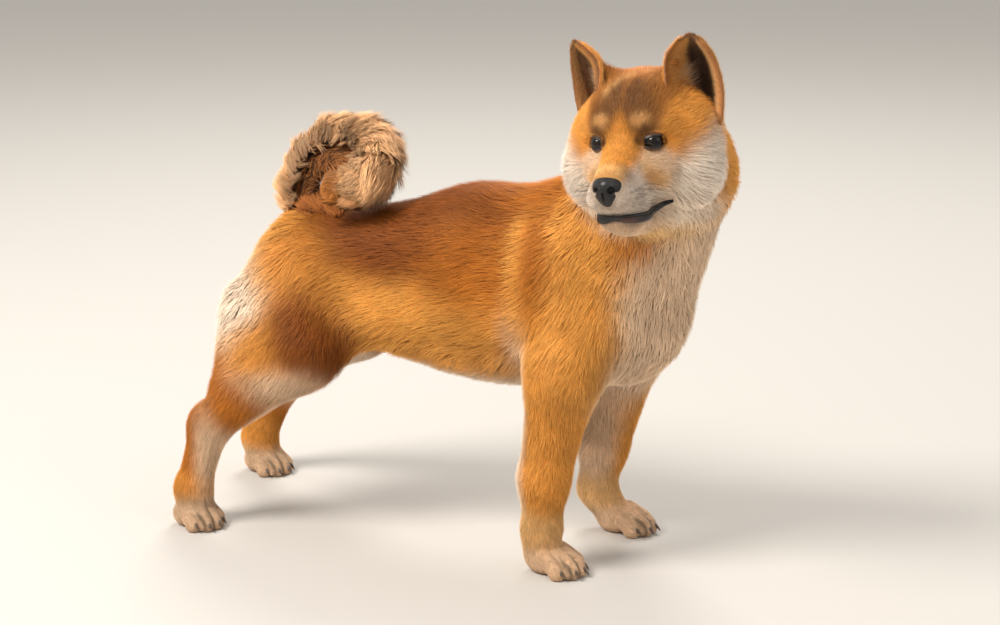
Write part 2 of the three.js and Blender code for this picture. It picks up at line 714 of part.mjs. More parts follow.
// The trunk and neck, less the spaces of the legs and the tail
function trunk() {
  const smooth = cast(body, [-235, -118, 150], [372, 118, 470], [9, 9, 9], 1600);
  let solid = wasm.Manifold.union([smooth, ...ruffLocks()]);
  for (const side of [LEFT, RIGHT]) {
    solid = solid.subtract(forelegSpace(side, GAP)).subtract(hindLegSpace(side, GAP));
  }
  const [x, y, z] = TAIL_ROOT.point;
  return solid.subtract(box([x - 60, y - 60, z - GAP / 2], [x + 34, y + 60, z + 60]));
}

// A claw that grows out of a toe: it curves down and ends in a blunt point
function claw(paw, across, reach) {
  const spine = [[2, 9, 3], [8.5, 8.6, 2.7], [12.5, 4.5, 0.6]];
  const rings = spine.map(([forward, up, radius]) => {
    const ring = [];
    for (let s = 0; s < 4; s++) {
      const angle = (Math.PI * s) / 2;
      const aside = across * (1 + forward / 120) + radius * Math.cos(angle);
      ring.push(vec(...onFoot(paw, reach + forward, aside, up + radius * Math.sin(angle))));
    }
    return ring;
  });
  return toSolid(loft(rings));
}

// A paw with its claws, flat where it stands
function pawSolid(name) {
  const paw = PAWS[name];
  const [x, y] = paw.foot;
  let solid = cast(body, [x - 50, y - 48, -12], [x + 54, y + 48, WRIST + 10], [4, 4, 4], 300);
  for (const [across, reach] of TOES) solid = solid.add(claw(paw, across, reach));
  return largest(solid.intersect(box([x - 90, y - 90, 0], [x + 90, y + 90, WRIST - GAP / 2])));
}

// Each leg from the trunk down to its wrist or hock, and where the thigh ends on the hind legs
function forelegSolid(side) {
  const across = [side * 24, side * 122].sort((a, b) => a - b);
  const solid = cast(body, [150, across[0], WRIST - 12], [304, across[1], 236], [7, 7, 8], 340);
  return largest(solid.intersect(forelegSpace(side)).intersect(beyond([0, 0, WRIST], [0, 0, 1], GAP / 2)));
}

function hindLegSolids(side, stifle) {
  const across = [side * -4, side * 124].sort((a, b) => a - b);
  const smooth = cast(body, [-236, across[0], 110], [8, across[1], 286], [9, 9, 9], 380);
  const upper = wasm.Manifold.union([smooth, ...breechLocks(side)]);
  const lower = cast(body, [-262, across[0], WRIST - 12], [-20, across[1], 216], [7, 7, 8], 340);
  const knee = { point: stifle, direction: [-0.35, 0, -0.94] };
  const space = hindLegSpace(side);
  return {
    thigh: largest(upper.intersect(space).intersect(behind(knee))),
    shank: largest(
      lower.intersect(space).intersect(ahead(knee)).intersect(beyond([0, 0, WRIST], [0, 0, 1], GAP / 2)),
    ),
  };
}

// The head's form as a solid in the head's own frame, grown outwards by grow
function headSolid(grow = 0) {
  const point = vec();
  const field = (u, v, w) => {
    point.set(u, v, w).applyMatrix4(HEAD_PLACE);
    return body(point.x, point.y, point.z) - grow;
  };
  const along = (u) => (u < -20 ? 7 : 3.4);
  const across = (v) => (Math.abs(v) > 38 ? 6 : 3.2);
  const up = (w) => (w > 24 || w < -84 ? 7 : 3.2);
  return cast(field, [-112, -106, -128], [112, 106, 78], [along, across, up], 1800);
}

// Eyes: place in the head, radius, and the almond opening that the lids leave
const EYE = { forward: 42, aside: 22, up: 1.5, radius: 10.8 };
const LIDS = { turn: 40, slant: 8, reach: 13, halfLength: 11.6, above: 6.8, below: 5.4, radius: 2.5 };
const eyeCentre = (side) => vec(EYE.forward, side * EYE.aside, EYE.up);

function eyeball(side, grow = 0) {
  const ball = new THREE.IcosahedronGeometry(EYE.radius + grow, 2);
  return toSolid(ball.translate(...eyeCentre(side).toArray()));
}

// Both lids of an eye as one almond-shaped roll round the eyeball
function lidRoll(side) {
  const gaze = vec(Math.cos(rad(LIDS.turn)), side * Math.sin(rad(LIDS.turn)), 0.08).normalize();
  const outward = vec(-Math.sin(rad(LIDS.turn)), side * Math.cos(rad(LIDS.turn)), Math.tan(rad(LIDS.slant)));
  outward.addScaledVector(gaze, -outward.dot(gaze)).normalize();
  const upward = side > 0 ? gaze.clone().cross(outward) : outward.clone().cross(gaze);
  const rings = [];
  const [steps, sides] = [14, 5];
  for (let n = 0; n < steps; n++) {
    const angle = (2 * Math.PI * n) / steps;
    const along = LIDS.halfLength * Math.cos(angle);
    const height = Math.sin(angle) * (angle < Math.PI ? LIDS.above : LIDS.below);
    const depth = Math.sqrt(LIDS.reach ** 2 - along ** 2 - height ** 2);
    const out = outward.clone().multiplyScalar(along).addScaledVector(upward, height);
    const aside = out.clone().normalize();
    const centre = eyeCentre(side).add(out).addScaledVector(gaze, depth);
    const ring = [];
    for (let s = 0; s < sides; s++) {
      const turn = (2 * Math.PI * s) / sides;
      ring.push(
        centre.clone()
          .addScaledVector(aside, LIDS.radius * Math.cos(turn))
          .addScaledVector(gaze, LIDS.radius * Math.sin(turn)),
      );
    }
    rings.push(ring);
  }
  return toSolid(loft(rings, true));
}

// The nose leather: a rounded block that narrows to the lip, with a nostril and its slit on each side
const NOSE = [egg([91, 0, -25], [13.5, 15.5, 11], 4), egg([91, 0, -36], [11.5, 9, 11], 9)];
const NOSTRILS = both((side) => [
  egg([104, side * 7.4, -28], [6.5, 3.6, 3.8], 2),
  limb([103, side * 9, -30], [96, side * 16, -33], 2.4, 1.4, 2),
]).flat();
function noseForm(u, v, w) {
  let d = joined(NOSE, u, v, w);
  for (const nostril of NOSTRILS) d = smoothMax(d, -nostril.distance(u, v, w), nostril.blend);
  return d;
}
function noseSolid(grow = 0) {
  const field = grow ? (u, v, w) => joined(NOSE, u, v, w) - grow : noseForm;
  return cast(field, [74, -20, -52], [108, 20, -10], [2, 1.8, 2], 420);
}

// The line of the mouth, from its corners at the back to the lips in front
const MOUTH = { corner: 43, front: 102, cornerHeight: -51, dip: 7 };
function mouthHeight(u) {
  const t = Math.min(1, Math.max(0, (u - MOUTH.corner) / (MOUTH.front - MOUTH.corner)));
  return MOUTH.cornerHeight - MOUTH.dip * Math.sin(Math.PI * t);
}

// A point of the head's surface on the line of the mouth, at an angle from straight ahead
function onMouth(angle) {
  const from = vec(60, 0, 0);
  let u = 80;
  let reach = 0;
  for (let round = 0; round < 4; round++) {
    const w = mouthHeight(u);
    let [low, high] = [0, 60];
    for (let n = 0; n < 16; n++) {
      reach = (low + high) / 2;
      const inside = headForm(from.x + reach * Math.cos(angle), reach * Math.sin(angle), w) < 0;
      if (inside) low = reach;
      else high = reach;
    }
    u = from.x + reach * Math.cos(angle);
  }
  return vec(u, reach * Math.sin(angle), mouthHeight(u));
}

// Upper and lower lip as one roll along the line of the mouth
function lipRoll() {
  const rings = [];
  const [steps, sides, widest] = [16, 5, 112];
  for (let n = 0; n <= steps; n++) {
    const angle = rad(-widest + (2 * widest * n) / steps);
    const centre = onMouth(angle);
    const thick = 3.2 * Math.min(1, 0.45 + 1.6 * (1 - Math.abs(2 * n / steps - 1)));
    const out = vec(Math.cos(angle), Math.sin(angle), 0);
    centre.addScaledVector(out, -1.2);
    const ring = [];
    for (let s = 0; s < sides; s++) {
      const turn = (2 * Math.PI * s) / sides;
      ring.push(centre.clone().addScaledVector(out, thick * Math.cos(turn)).add(vec(0, 0, thick * Math.sin(turn))));
    }
    rings.push(ring);
  }
  return toSolid(loft(rings));
}

// The thin cut between the lips, which runs down behind the jaw and opens a little to the front
function jawCut() {
  const outline = new THREE.Shape();
  const [start, end, steps] = [MOUTH.corner, 122, 12];
  const half = (u) => GAP / 2 + (0.8 * (u - start)) / (end - start);
  const stations = Array.from({ length: steps + 1 }, (_, n) => start + ((end - start) * n) / steps);
  outline.moveTo(start - GAP / 2, mouthHeight(start) + GAP / 2);
  for (const u of stations.slice(1)) outline.lineTo(u, mouthHeight(u) + half(u));
  for (const u of stations.slice(1).reverse()) outline.lineTo(u, mouthHeight(u) - half(u));
  outline.lineTo(start + GAP / 2, mouthHeight(start) - GAP / 2);
  outline.lineTo(start - 8 + GAP / 2, -135);
  outline.lineTo(start - 8 - GAP / 2, -135);
  const width = 140;
  const block = new THREE.ExtrudeGeometry(outline, { depth: width, bevelEnabled: false });
  return toSolid(block.rotateX(Math.PI / 2).translate(0, width / 2, 0));
}

// An ear as a cup: the front rim, the outer rim and the back of the cup, each from the base to the tip
const EAR = {
  front: [[20, 38, 30], [13, 31, 48], [4, 30, 70], [1, 48, 88]],
  outer: [[8, 60, 8], [-10, 70, 34], [-9, 68, 60], [0, 55, 87]],
  back: [[-36, 44, 10], [-34, 46, 42], [-20, 48, 70], [-2, 52, 89]],
  lean: { left: 2, right: 9 }, // how far the tip leans out
};
function earSolid(side) {
  const lean = side > 0 ? EAR.lean.left : EAR.lean.right;
  const leaning = ([u, v, w]) => vec(u, side * (v + lean * (w / 88) ** 1.5), w);
  const curve = (points) => new THREE.CatmullRomCurve3(points.map(leaning));
  const [front, outer, back] = [curve(EAR.front), curve(EAR.outer), curve(EAR.back)];
  const [rows, columns] = [7, 6];
  const rings = [];
  for (let row = 0; row <= rows; row++) {
    const t = row / rows;
    const [a, m, b] = [front.getPoint(t), back.getPoint(t), outer.getPoint(t)];
    const hold = m.clone().multiplyScalar(2).addScaledVector(a, -0.5).addScaledVector(b, -0.5);
    const middle = a.clone().add(b).multiplyScalar(0.5);
    const thick = 4.6 - 2.6 * t;
    const inside = [];
    const outside = [];
    for (let n = 0; n <= columns; n++) {
      const s = n / columns;
      const p = a.clone().multiplyScalar((1 - s) ** 2).addScaledVector(hold, 2 * s * (1 - s)).addScaledVector(b, s * s);
      const away = p.clone().sub(middle).addScaledVector(m.clone().sub(middle).normalize(), 9).normalize();
      inside.push(p);
      outside.unshift(p.clone().addScaledVector(away, thick * (0.55 + 0.45 * Math.sin(Math.PI * s))));
    }
    rings.push([...inside, ...outside]);
  }
  return toSolid(loft(rings));
}

// The tail: its core runs half way to the tips of its coat, which end on the tail's outer form
const TAIL_RUN = new THREE.CatmullRomCurve3(
  [
    [-118, 0, 302], [-121, 0, 331], [-117, 2, 354], [-101, 2, 379], [-72, -2, 397], [-43, -8, 402],
    [-23, -18, 393], [-18, -28, 377], [-26, -38, 366], [-43, -44, 362], [-59, -47, 362],
  ].map((point) => vec(...point)),
);
const TAIL_COAT_FORM = [
  limb([-122, 0, 320], [-126, 0, 346], 25, 25, 12),
  limb([-126, 0, 346], [-108, 0, 378], 25, 27, 12),
  limb([-108, 0, 378], [-72, -2, 402], 27, 28, 12),
  limb([-72, -2, 402], [-28, -9, 402], 28, 31, 12),
  limb([-28, -9, 402], [6, -24, 384], 30, 36, 12),
  limb([6, -24, 384], [-10, -34, 360], 36, 30, 12),
  limb([-10, -34, 360], [-44, -45, 356], 28, 20, 12),
];
const tailCoat = (x, y, z) => joined(TAIL_COAT_FORM, x, y, z);
const CURL_HOLLOW = { middle: vec(-66, -20, 374), reach: 25 }; // the locks round it stay short
const coreRadius = (t) => 15 - 2 * t + 22 * Math.max(0, 0.24 - t) - 6 * Math.max(0, (t - 0.86) / 0.14) ** 2;

// The core of the tail as a rounded tube
function tailCore() {
  const rings = [];
  const [steps, sides] = [18, 7];
  const { normals, binormals } = TAIL_RUN.computeFrenetFrames(steps);
  for (let n = 0; n <= steps; n++) {
    const t = n / steps;
    const centre = TAIL_RUN.getPointAt(t);
    const radius = coreRadius(t) * (n === steps ? 0.4 : 1);
    const ring = [];
    for (let s = 0; s < sides; s++) {
      const angle = (2 * Math.PI * s) / sides;
      ring.push(
        centre.clone()
          .addScaledVector(normals[n], radius * Math.cos(angle))
          .addScaledVector(binormals[n], radius * Math.sin(angle)),
      );
    }
    rings.push(ring);
  }
  return toSolid(loft(rings));
}

// A lock of the tail: it leaves the core squarely and sweeps towards the tail's end, out to the outer form,
// but stays clear of the back
function tailLock(t, angle) {
  const centre = TAIL_RUN.getPointAt(t);
  const along = TAIL_RUN.getTangentAt(t);
  const aside = along.clone().cross(vec(0, 1, 0)).normalize();
  const round = aside.clone().multiplyScalar(Math.cos(angle));
  round.addScaledVector(along.clone().cross(aside), Math.sin(angle));
  const sweep = rad(vary(46, 0.25));
  const towards = round.clone().multiplyScalar(Math.cos(sweep)).addScaledVector(along, Math.sin(sweep));
  const tip = centre.clone();
  const open = (point) => tailCoat(point.x, point.y, point.z) < 0 && flesh(point.x, point.y, point.z) > 6;
  const inward = round.dot(CURL_HOLLOW.middle.clone().sub(centre).normalize());
  if (inward > 0.8) return null;
  const furthest = vary(inward > 0.4 ? CURL_HOLLOW.reach : 72, 0.1);
  while (open(tip) && tip.distanceTo(centre) < furthest) tip.addScaledVector(towards, 1);
  const length = tip.distanceTo(centre);
  if (length < coreRadius(t) + 6) return null;
  const root = centre.clone().addScaledVector(round, 0.45 * coreRadius(t)).addScaledVector(along, -6);
  const bend = root.clone().addScaledVector(round, 0.42 * length).addScaledVector(along, 0.1 * length);
  const curve = new THREE.QuadraticBezierCurve3(root, bend, tip);
  const path = LOCK_SHAPE.map(([at]) => curve.getPoint(at));
  const out = path.map(() => round.clone().addScaledVector(along, -0.8));
  return lock(path, out, vary(18 + 0.25 * length, 0.12), 6);
}

// The planes that part the tail, square to its run
const TAIL_ARCH = { point: [-100, 0, 386], direction: [0.62, 0, 0.78] };
const TAIL_FAN = { point: [-34, -8, 404], direction: [1, 0, 0] };
const TAIL_TIP = { point: [-60, -20, 380], direction: [0, 0, -1] };
const TAIL_BACK = { point: [-84, 0, 360], direction: [1, 0, 0] };
function tailSolids() {
  const pieces = [tailCore()];
  const rows = 13;
  for (let row = 0; row < rows; row++) {
    const t = 0.045 + (0.942 * row) / (rows - 1);
    const round = t > 0.5 && t < 0.9 ? 6 : 5;
    for (let n = 0; n < round; n++) {
      const piece = tailLock(Math.min(0.995, vary(t, 0.015)), (2 * Math.PI * (n + 0.5 * (row % 2) + 0.3 * draw())) / round);
      if (piece) pieces.push(piece);
    }
  }
  const solid = wasm.Manifold.union(pieces);
  const upper = solid.intersect(behind(TAIL_TIP)).intersect(behind(TAIL_FAN));
  return {
    tail_base: largest(solid.intersect(ahead(TAIL_ROOT)).intersect(behind(TAIL_ARCH)).intersect(behind(TAIL_BACK))),
    tail_arch: largest(upper.intersect(ahead(TAIL_ARCH))),
    tail_fan: largest(solid.intersect(ahead(TAIL_FAN))),
    tail_tip: largest(solid.intersect(ahead(TAIL_TIP)).intersect(behind(TAIL_FAN)).intersect(ahead(TAIL_BACK))),
  };
}

// The model: head parts in a group that holds the head's place, the rest in the body's frame
const model = new THREE.Group();
const headGroup = new THREE.Group();
headGroup.applyMatrix4(HEAD_PLACE);
model.add(headGroup);

// Where locks join their node, edges too short to matter are merged: share is the part of the triangles that stays
function add(group, name, solid, material, share = 1) {
  const geometry = toGeometry(solid);
  const kept = share < 1 ? thinned(geometry, share * (geometry.index.count / 3)) : geometry;
  const mesh = new THREE.Mesh(kept, material);
  mesh.name = name;
  group.add(mesh);
}

function addHead() {
  let solid = headSolid().intersect(ahead(HEAD_ROOT)).add(lipRoll());
  for (const side of [LEFT, RIGHT]) solid = solid.add(lidRoll(side)).subtract(eyeball(side, 0.35));
  solid = solid.subtract(noseSolid(GAP)).subtract(jawCut());
  const [head, jaw] = solid.decompose().sort((a, b) => b.volume() - a.volume());
  add(headGroup, "head", head, RED_COAT);
  add(headGroup, "lower_jaw", jaw, CREAM_COAT);
  add(headGroup, "nose", noseSolid(), NOSE_LEATHER);
  const grown = headSolid(0.35);
  for (const [side, name] of [[LEFT, "left"], [RIGHT, "right"]]) {
    add(headGroup, `eye_${name}`, eyeball(side), EYE_SURFACE);
    add(headGroup, `ear_${name}`, largest(earSolid(side).subtract(grown)), RED_COAT);
  }
}

function addBody() {
  const whole = trunk();
  add(model, "neck", largest(whole.intersect(ahead(NECK_ROOT)).intersect(behind(NECK_TOP))), CREAM_COAT, 0.85);
  add(model, "chest", largest(whole.intersect(behind(NECK_ROOT)).intersect(behind(LOIN_ROOT))), RED_COAT, 0.85);
  add(model, "loin", largest(whole.intersect(ahead(LOIN_ROOT))), RED_COAT);
  for (const [name, solid] of Object.entries(tailSolids())) add(model, name, solid, TAIL_COAT, 0.85);
}

function addLegs() {
  for (const [side, name, stifle] of [[LEFT, "left", [-134, 80, 160]], [RIGHT, "right", [-114, -80, 160]]]) {
    add(model, `foreleg_${name}`, forelegSolid(side), RED_COAT);
    const { thigh, shank } = hindLegSolids(side, stifle);
    add(model, `thigh_${name}`, thigh, RED_COAT, 0.85);
    add(model, `shank_${name}`, shank, RED_COAT);
  }
  for (const name of Object.keys(PAWS)) add(model, name, pawSolid(name), CREAM_COAT);
}

addHead();
addBody();
addLegs();

// The origin is on the floor under the middle of the model
const reach = new THREE.Box3().setFromObject(model);
const middle = reach.getCenter(vec());
model.position.set(-middle.x, -middle.y, -reach.min.z);

export default model;
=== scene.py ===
# A standing shiba inu that looks to its right. One skin lies inside the solids by the depth of the coat,
# and the coat grows on it as fine tapered tufts. Shapes are worked out in millimetres in the sculpt's own
# frame, in which the dog faces +X, and are moved into the model's frame in metres as each mesh is made.
import math

import bpy
import numpy as np
from mathutils import Matrix, Vector


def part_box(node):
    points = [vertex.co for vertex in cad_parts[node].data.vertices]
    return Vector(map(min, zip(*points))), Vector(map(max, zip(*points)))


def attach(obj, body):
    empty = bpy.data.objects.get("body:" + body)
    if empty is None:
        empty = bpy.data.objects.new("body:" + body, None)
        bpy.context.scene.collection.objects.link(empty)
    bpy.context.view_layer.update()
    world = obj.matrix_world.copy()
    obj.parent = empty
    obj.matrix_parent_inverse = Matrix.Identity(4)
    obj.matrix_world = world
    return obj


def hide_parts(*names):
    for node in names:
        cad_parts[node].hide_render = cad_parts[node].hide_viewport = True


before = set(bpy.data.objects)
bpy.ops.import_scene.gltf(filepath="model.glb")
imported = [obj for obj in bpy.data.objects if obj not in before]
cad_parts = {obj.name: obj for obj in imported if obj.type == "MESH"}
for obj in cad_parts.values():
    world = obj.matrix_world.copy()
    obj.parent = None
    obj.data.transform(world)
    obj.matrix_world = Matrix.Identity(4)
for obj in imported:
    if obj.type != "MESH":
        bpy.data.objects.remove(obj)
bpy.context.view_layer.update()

MM = 0.001
LEFT, RIGHT = 1, -1
SIDES = {"left": LEFT, "right": RIGHT}
COVER = 3.7  # layers of tufts over each spot of skin


# Vectors and blends

def unit(v):
    return v / np.maximum(np.linalg.norm(v, axis=-1, keepdims=True), 1e-9)


def ease(low, high, value):
    t = np.clip((value - low) / (high - low), 0, 1)
    return t * t * (3 - 2 * t)


def smooth_min(a, b, blend):
    h = np.maximum(blend - np.abs(a - b), 0) / blend
    return np.minimum(a, b) - h * h * blend / 4


def smooth_max(a, b, blend):
    return -smooth_min(-a, -b, blend)


def turned(about_x, about_y, about_z):
    """The rotation about X, then Y, then Z, in degrees."""
    return np.array((
        Matrix.Rotation(math.radians(about_z), 3, "Z")
        @ Matrix.Rotation(math.radians(about_y), 3, "Y")
        @ Matrix.Rotation(math.radians(about_x), 3, "X")
    ))


def waves(points, length, seed, count=6):
    """A smooth random value between about -1 and 1 that changes over the given length."""
    rng = np.random.default_rng(seed)
    total = np.zeros(len(points))
    for _ in range(count):
        run = unit(rng.normal(size=3)) * 2 * math.pi / length * rng.uniform(0.6, 1.6)
        total += np.sin(points @ run + rng.uniform(0, 2 * math.pi))
    return total / math.sqrt(count)


def wave_field(points, length, seed):
    """A smooth random direction at each point."""
    return np.stack([waves(points, length, seed + n) for n in range(3)], 1)


# The masses of the body, as in the solids

class Mass:
    """A shape given by the distance to its surface, negative inside, and how softly it joins the rest."""

    def __init__(self, distance, blend, centre, reach):
        self.distance = distance
        self.blend = blend
        self.centre = np.array(centre, float)
        self.reach = reach


def egg(centre, radii, blend, turn=(0, 0, 0)):
    """An ellipsoid, turned about X, Y and Z by degrees."""
    middle, size, frame_of = np.array(centre, float), np.array(radii, float), turned(*turn)

    def distance(points):
        q = (points - middle) @ frame_of / size
        k0 = np.linalg.norm(q, axis=1)
        k1 = np.linalg.norm(q / size, axis=1)
        return k0 * (k0 - 1) / np.maximum(k1, 1e-9)

    return Mass(distance, blend, centre, max(radii))


def limb(start, end, r1, r2, blend, section=(1, 1, 1)):
    """A bar with round ends of radius r1 and r2, made narrower or wider along X, Y and Z by its section."""
    squeeze = np.array(section, float)
    a = np.array(start, float)
    run = (np.array(end, float) - a) / squeeze

    def distance(points):
        p = (points - a) / squeeze
        t = np.clip(p @ run / (run @ run), 0, 1)
        away = np.linalg.norm(p - t[:, None] * run, axis=1)
        return (away - (r1 + (r2 - r1) * t)) * squeeze.min()

    centre = (a + np.array(end, float)) / 2
    half = np.linalg.norm(np.array(end, float) - a) / 2
    return Mass(distance, blend, centre, half + max(r1, r2) * max(section))


FAR = 90.0  # a distance that stands for anything further away
NEAR = 30.0  # how far out of a mass its distance is still worked out


def joined(masses, points, start=None):
    """The distance to many masses, each blended into those before it."""
    d = np.full(len(points), FAR) if start is None else start.copy()
    for mass in masses:
        near = np.linalg.norm(points - mass.centre, axis=1) < mass.reach + NEAR
        if near.any():
            d[near] = smooth_min(d[near], mass.distance(points[near]), mass.blend)
    return d


TRUNK = [
    egg((124, 0, 262), (122, 74, 98), 10),
    egg((238, 8, 264), (76, 70, 90), 36),
    limb((104, 0, 312), (178, 0, 322), 40, 48, 36),
    limb((80, 0, 292), (-84, 0, 270), 62, 54, 40),
    egg((42, 0, 242), (108, 57, 66), 34),
    egg((-104, 0, 262), (58, 58, 62), 30),
    limb((212, 0, 300), (300, -20, 394), 76, 66, 34),
    egg((272, 0, 334), (56, 65, 64), 34),
]


def foreleg(side, elbow, wrist, pastern, foot):
    return [
        egg((182, side * 50, 280), (44, 32, 66), 30, (0, 20, 0)),
        limb((228, side * 44, 236), elbow, 42, 36, 30),
        limb(elbow, wrist, 36, 27, 22, (1, 0.84, 1)),
        limb(wrist, pastern, 25, 20, 12, (1, 0.9, 1)),
        limb(pastern, (foot[0] - 12, foot[1], 20), 20, 18, 10),
    ]


def hind_leg(side, hip, stifle, hock, pastern, foot):
    thigh_back = (hip[0] - 52, hip[1] * 1.1, hip[2] - 34)
    gaskin_back = (hock[0] + 26, hock[1] * 0.95, hock[2] + 48)
    heel_top = (hock[0] - 4, hock[1], hock[2] + 12)
    heel = (hock[0] - 7, hock[1], hock[2] - 2)
    return [
        limb(hip, stifle, 50, 42, 30, (1.05, 0.72, 1)),
        limb(thigh_back, gaskin_back, 44, 24, 28, (1, 0.72, 1)),
        limb(stifle, hock, 38, 22, 22, (1, 0.8, 1)),
        limb((8, side * 46, 222), (hip[0] + 50, side * 58, 206), 30, 22, 24, (1, 0.5, 1)),
        limb(hock, pastern, 21, 19, 12, (1, 0.86, 1)),
        limb(heel_top, heel, 11, 11, 14),
        limb(pastern, (foot[0], foot[1], 19), 20, 19, 10),
    ]


LEGS = [
    *foreleg(RIGHT, (212, -68, 196), (194, -72, 92), (192, -72, 42), (203, -72, 0)),
    *foreleg(LEFT, (226, 62, 200), (194, 73, 88), (186, 76, 42), (214, 77, 0)),
    *hind_leg(RIGHT, (-96, -42, 252), (-76, -74, 194), (-176, -92, 106), (-194, -98, 38), (-190, -100, 0)),
    *hind_leg(LEFT, (-102, 42, 252), (-92, 74, 194), (-202, 92, 104), (-234, 97, 38), (-228, 97, 0)),
]

# The feet: place on the floor, heading in degrees and size; and how far each toe is across and forward
PAWS = {
    "forepaw_right": ((203, -72, 0), -14, 1),
    "forepaw_left": ((214, 77, 0), -4, 1),
    "hindpaw_right": ((-192, -100, 0), -20, 0.95),
    "hindpaw_left": ((-228, 97, 0), -20, 0.95),
}
TOES = [(-17, 20), (-6.2, 29), (6.2, 29), (17, 20)]


def on_foot(paw, forward, across, up):
    foot, heading, size = paw
    c, s = math.cos(math.radians(heading)), math.sin(math.radians(heading))
    return np.array([
        foot[0] + (forward * c - across * s) * size,
        foot[1] + (forward * s + across * c) * size,
        up * size,
    ])


def foot_masses(paw):
    size = paw[2]
    masses = [egg(on_foot(paw, -4, 0, 13), (22 * size, 22 * size, 15 * size), 8)]
    for across, reach in TOES:
        knuckle = on_foot(paw, reach - 20, across * 0.8, 20)
        masses.append(limb(knuckle, on_foot(paw, reach - 3, across, 11), 9 * size, 8.6 * size, 2.5))
        masses.append(egg(on_foot(paw, reach, across, 6.5), (7.8 * size, 7.8 * size, 8.5 * size), 2.5))
    return masses


FEET = [mass for paw in PAWS.values() for mass in foot_masses(paw)]


# The head, in its own frame: +X to the nose, +Y to the dog's left, +Z to the crown

HEAD_TURN = turned(6, 5, -90)
HEAD_AT = np.array((300.0, -84.0, 440.0))


def to_head(points):
    return (points - HEAD_AT) @ HEAD_TURN


def from_head(points):
    return np.asarray(points, float) @ HEAD_TURN.T + HEAD_AT


def both(build):
    return [build(LEFT), build(RIGHT)]


HEAD = [
    egg((-8, 0, 10), (60, 59, 51), 10),
    egg((22, 0, 12), (30, 42, 30), 18),
    *both(lambda side: egg((38, side * 17, 17), (12, 13, 10), 10)),
    *both(lambda side: egg((5, side * 47 - 3, -30), (40, 33, 41), 22)),
    *both(lambda side: egg((-10, side * 51, 2), (27, 19, 25), 20)),
    *both(lambda side: limb((-10, side * 26, 48), (-1, side * 36, 64), 13, 7, 10)),
    egg((-38, -3, -28), (44, 60, 54), 26),
    limb((38, 0, -18), (85, 0, -30), 27, 18, 14),
    limb((42, 0, 0), (86, 0, -19), 13, 9, 12),
    *both(lambda side: egg((30, side * 25, -28), (27, 17, 24), 16)),
    *both(lambda side: egg((73, side * 12, -40), (26, 16, 14), 12)),
    limb((6, 0, -66), (62, 0, -63), 30, 17, 14),
    egg((66, 0, -61), (24, 24, 14), 8),
]
ORBITS = both(lambda side: egg((56.5, side * 34, 2), (10, 13, 8), 8, (0, 0, side * 38)))


def head_form(local):
    d = joined(HEAD, local)
    for orbit in ORBITS:
        near = np.linalg.norm(local - orbit.centre, axis=1) < 40
        d[near] = smooth_max(d[near], -orbit.distance(local[near]), orbit.blend)
    return d


# Folds of the coat: start, end, breadth and depth, given for the right side. Painted shade darkens them too.
CREASES = [
    ((-14, -60, 274), (-26, -78, 204), 5, 4),
    ((214, -108, 226), (238, -92, 206), 3.5, 1.6),
    ((206, -110, 206), (240, -92, 190), 3.5, 1.6),
    ((150, -60, 222), (176, -86, 190), 6, 3),
]


def fold_depth(points):
    """How deep the folds lie at each point."""
    depth = np.zeros(len(points))
    for start, end, breadth, deep in CREASES:
        for side in (LEFT, RIGHT):
            a = np.array(start, float) * (1, side, 1)
            run = np.array(end, float) * (1, side, 1) - a
            t = np.clip((points - a) @ run / (run @ run), 0, 1)
            away = np.linalg.norm(points - a - t[:, None] * run, axis=1)
            depth += deep * np.exp(-(away / breadth) ** 2) * np.sin(math.pi * np.clip(t, 0.12, 0.88))
    return depth


def flesh(points):
    """The outer form of the body, out to the tips of its coat, without the tail."""
    d = joined(TRUNK, points)
    d = joined(LEGS, points, d)
    low = points[:, 2] < 60
    if low.any():
        d[low] = smooth_min(d[low], joined(FEET, points[low]), 5)
    high = (points[:, 2] > 300) & (points[:, 0] > 180)
    if high.any():
        d[high] = smooth_min(d[high], head_form(to_head(points[high])), 26)
    close = np.abs(d) < 20
    d[close] += fold_depth(points[close])
    return d


# The tail: the line that it runs along, and its outer form out to the tips of its coat

TAIL_RUN = np.array([
    (-112, 0, 280), (-118, 0, 302), (-121, 0, 331), (-117, 2, 354), (-101, 2, 379), (-72, -2, 397),
    (-43, -8, 402), (-23, -18, 393), (-18, -28, 377), (-26, -37, 366), (-37, -42, 360), (-48, -45, 358),
], float)
TAIL_FORM = [
    limb((-120, 0, 320), (-122, 0, 346), 21, 22, 12),
    limb((-122, 0, 346), (-106, 0, 376), 22, 24, 12),
    limb((-106, 0, 376), (-72, -2, 400), 24, 27, 12),
    limb((-72, -2, 400), (-28, -9, 400), 27, 31, 12),
    limb((-28, -9, 400), (6, -24, 382), 30, 37, 12),
    limb((6, -24, 382), (-8, -34, 357), 37, 32, 12),
    limb((-8, -34, 357), (-44, -45, 356), 29, 21, 12),
]
CORE_RADII = (24, 19, 11, 9, 8.5, 8.5, 8.5, 8.5, 8.5, 8, 7, 5)
TAIL_CORE = [
    limb(TAIL_RUN[n], TAIL_RUN[n + 1], CORE_RADII[n], CORE_RADII[n + 1], 3)
    for n in range(len(TAIL_RUN) - 1)
]
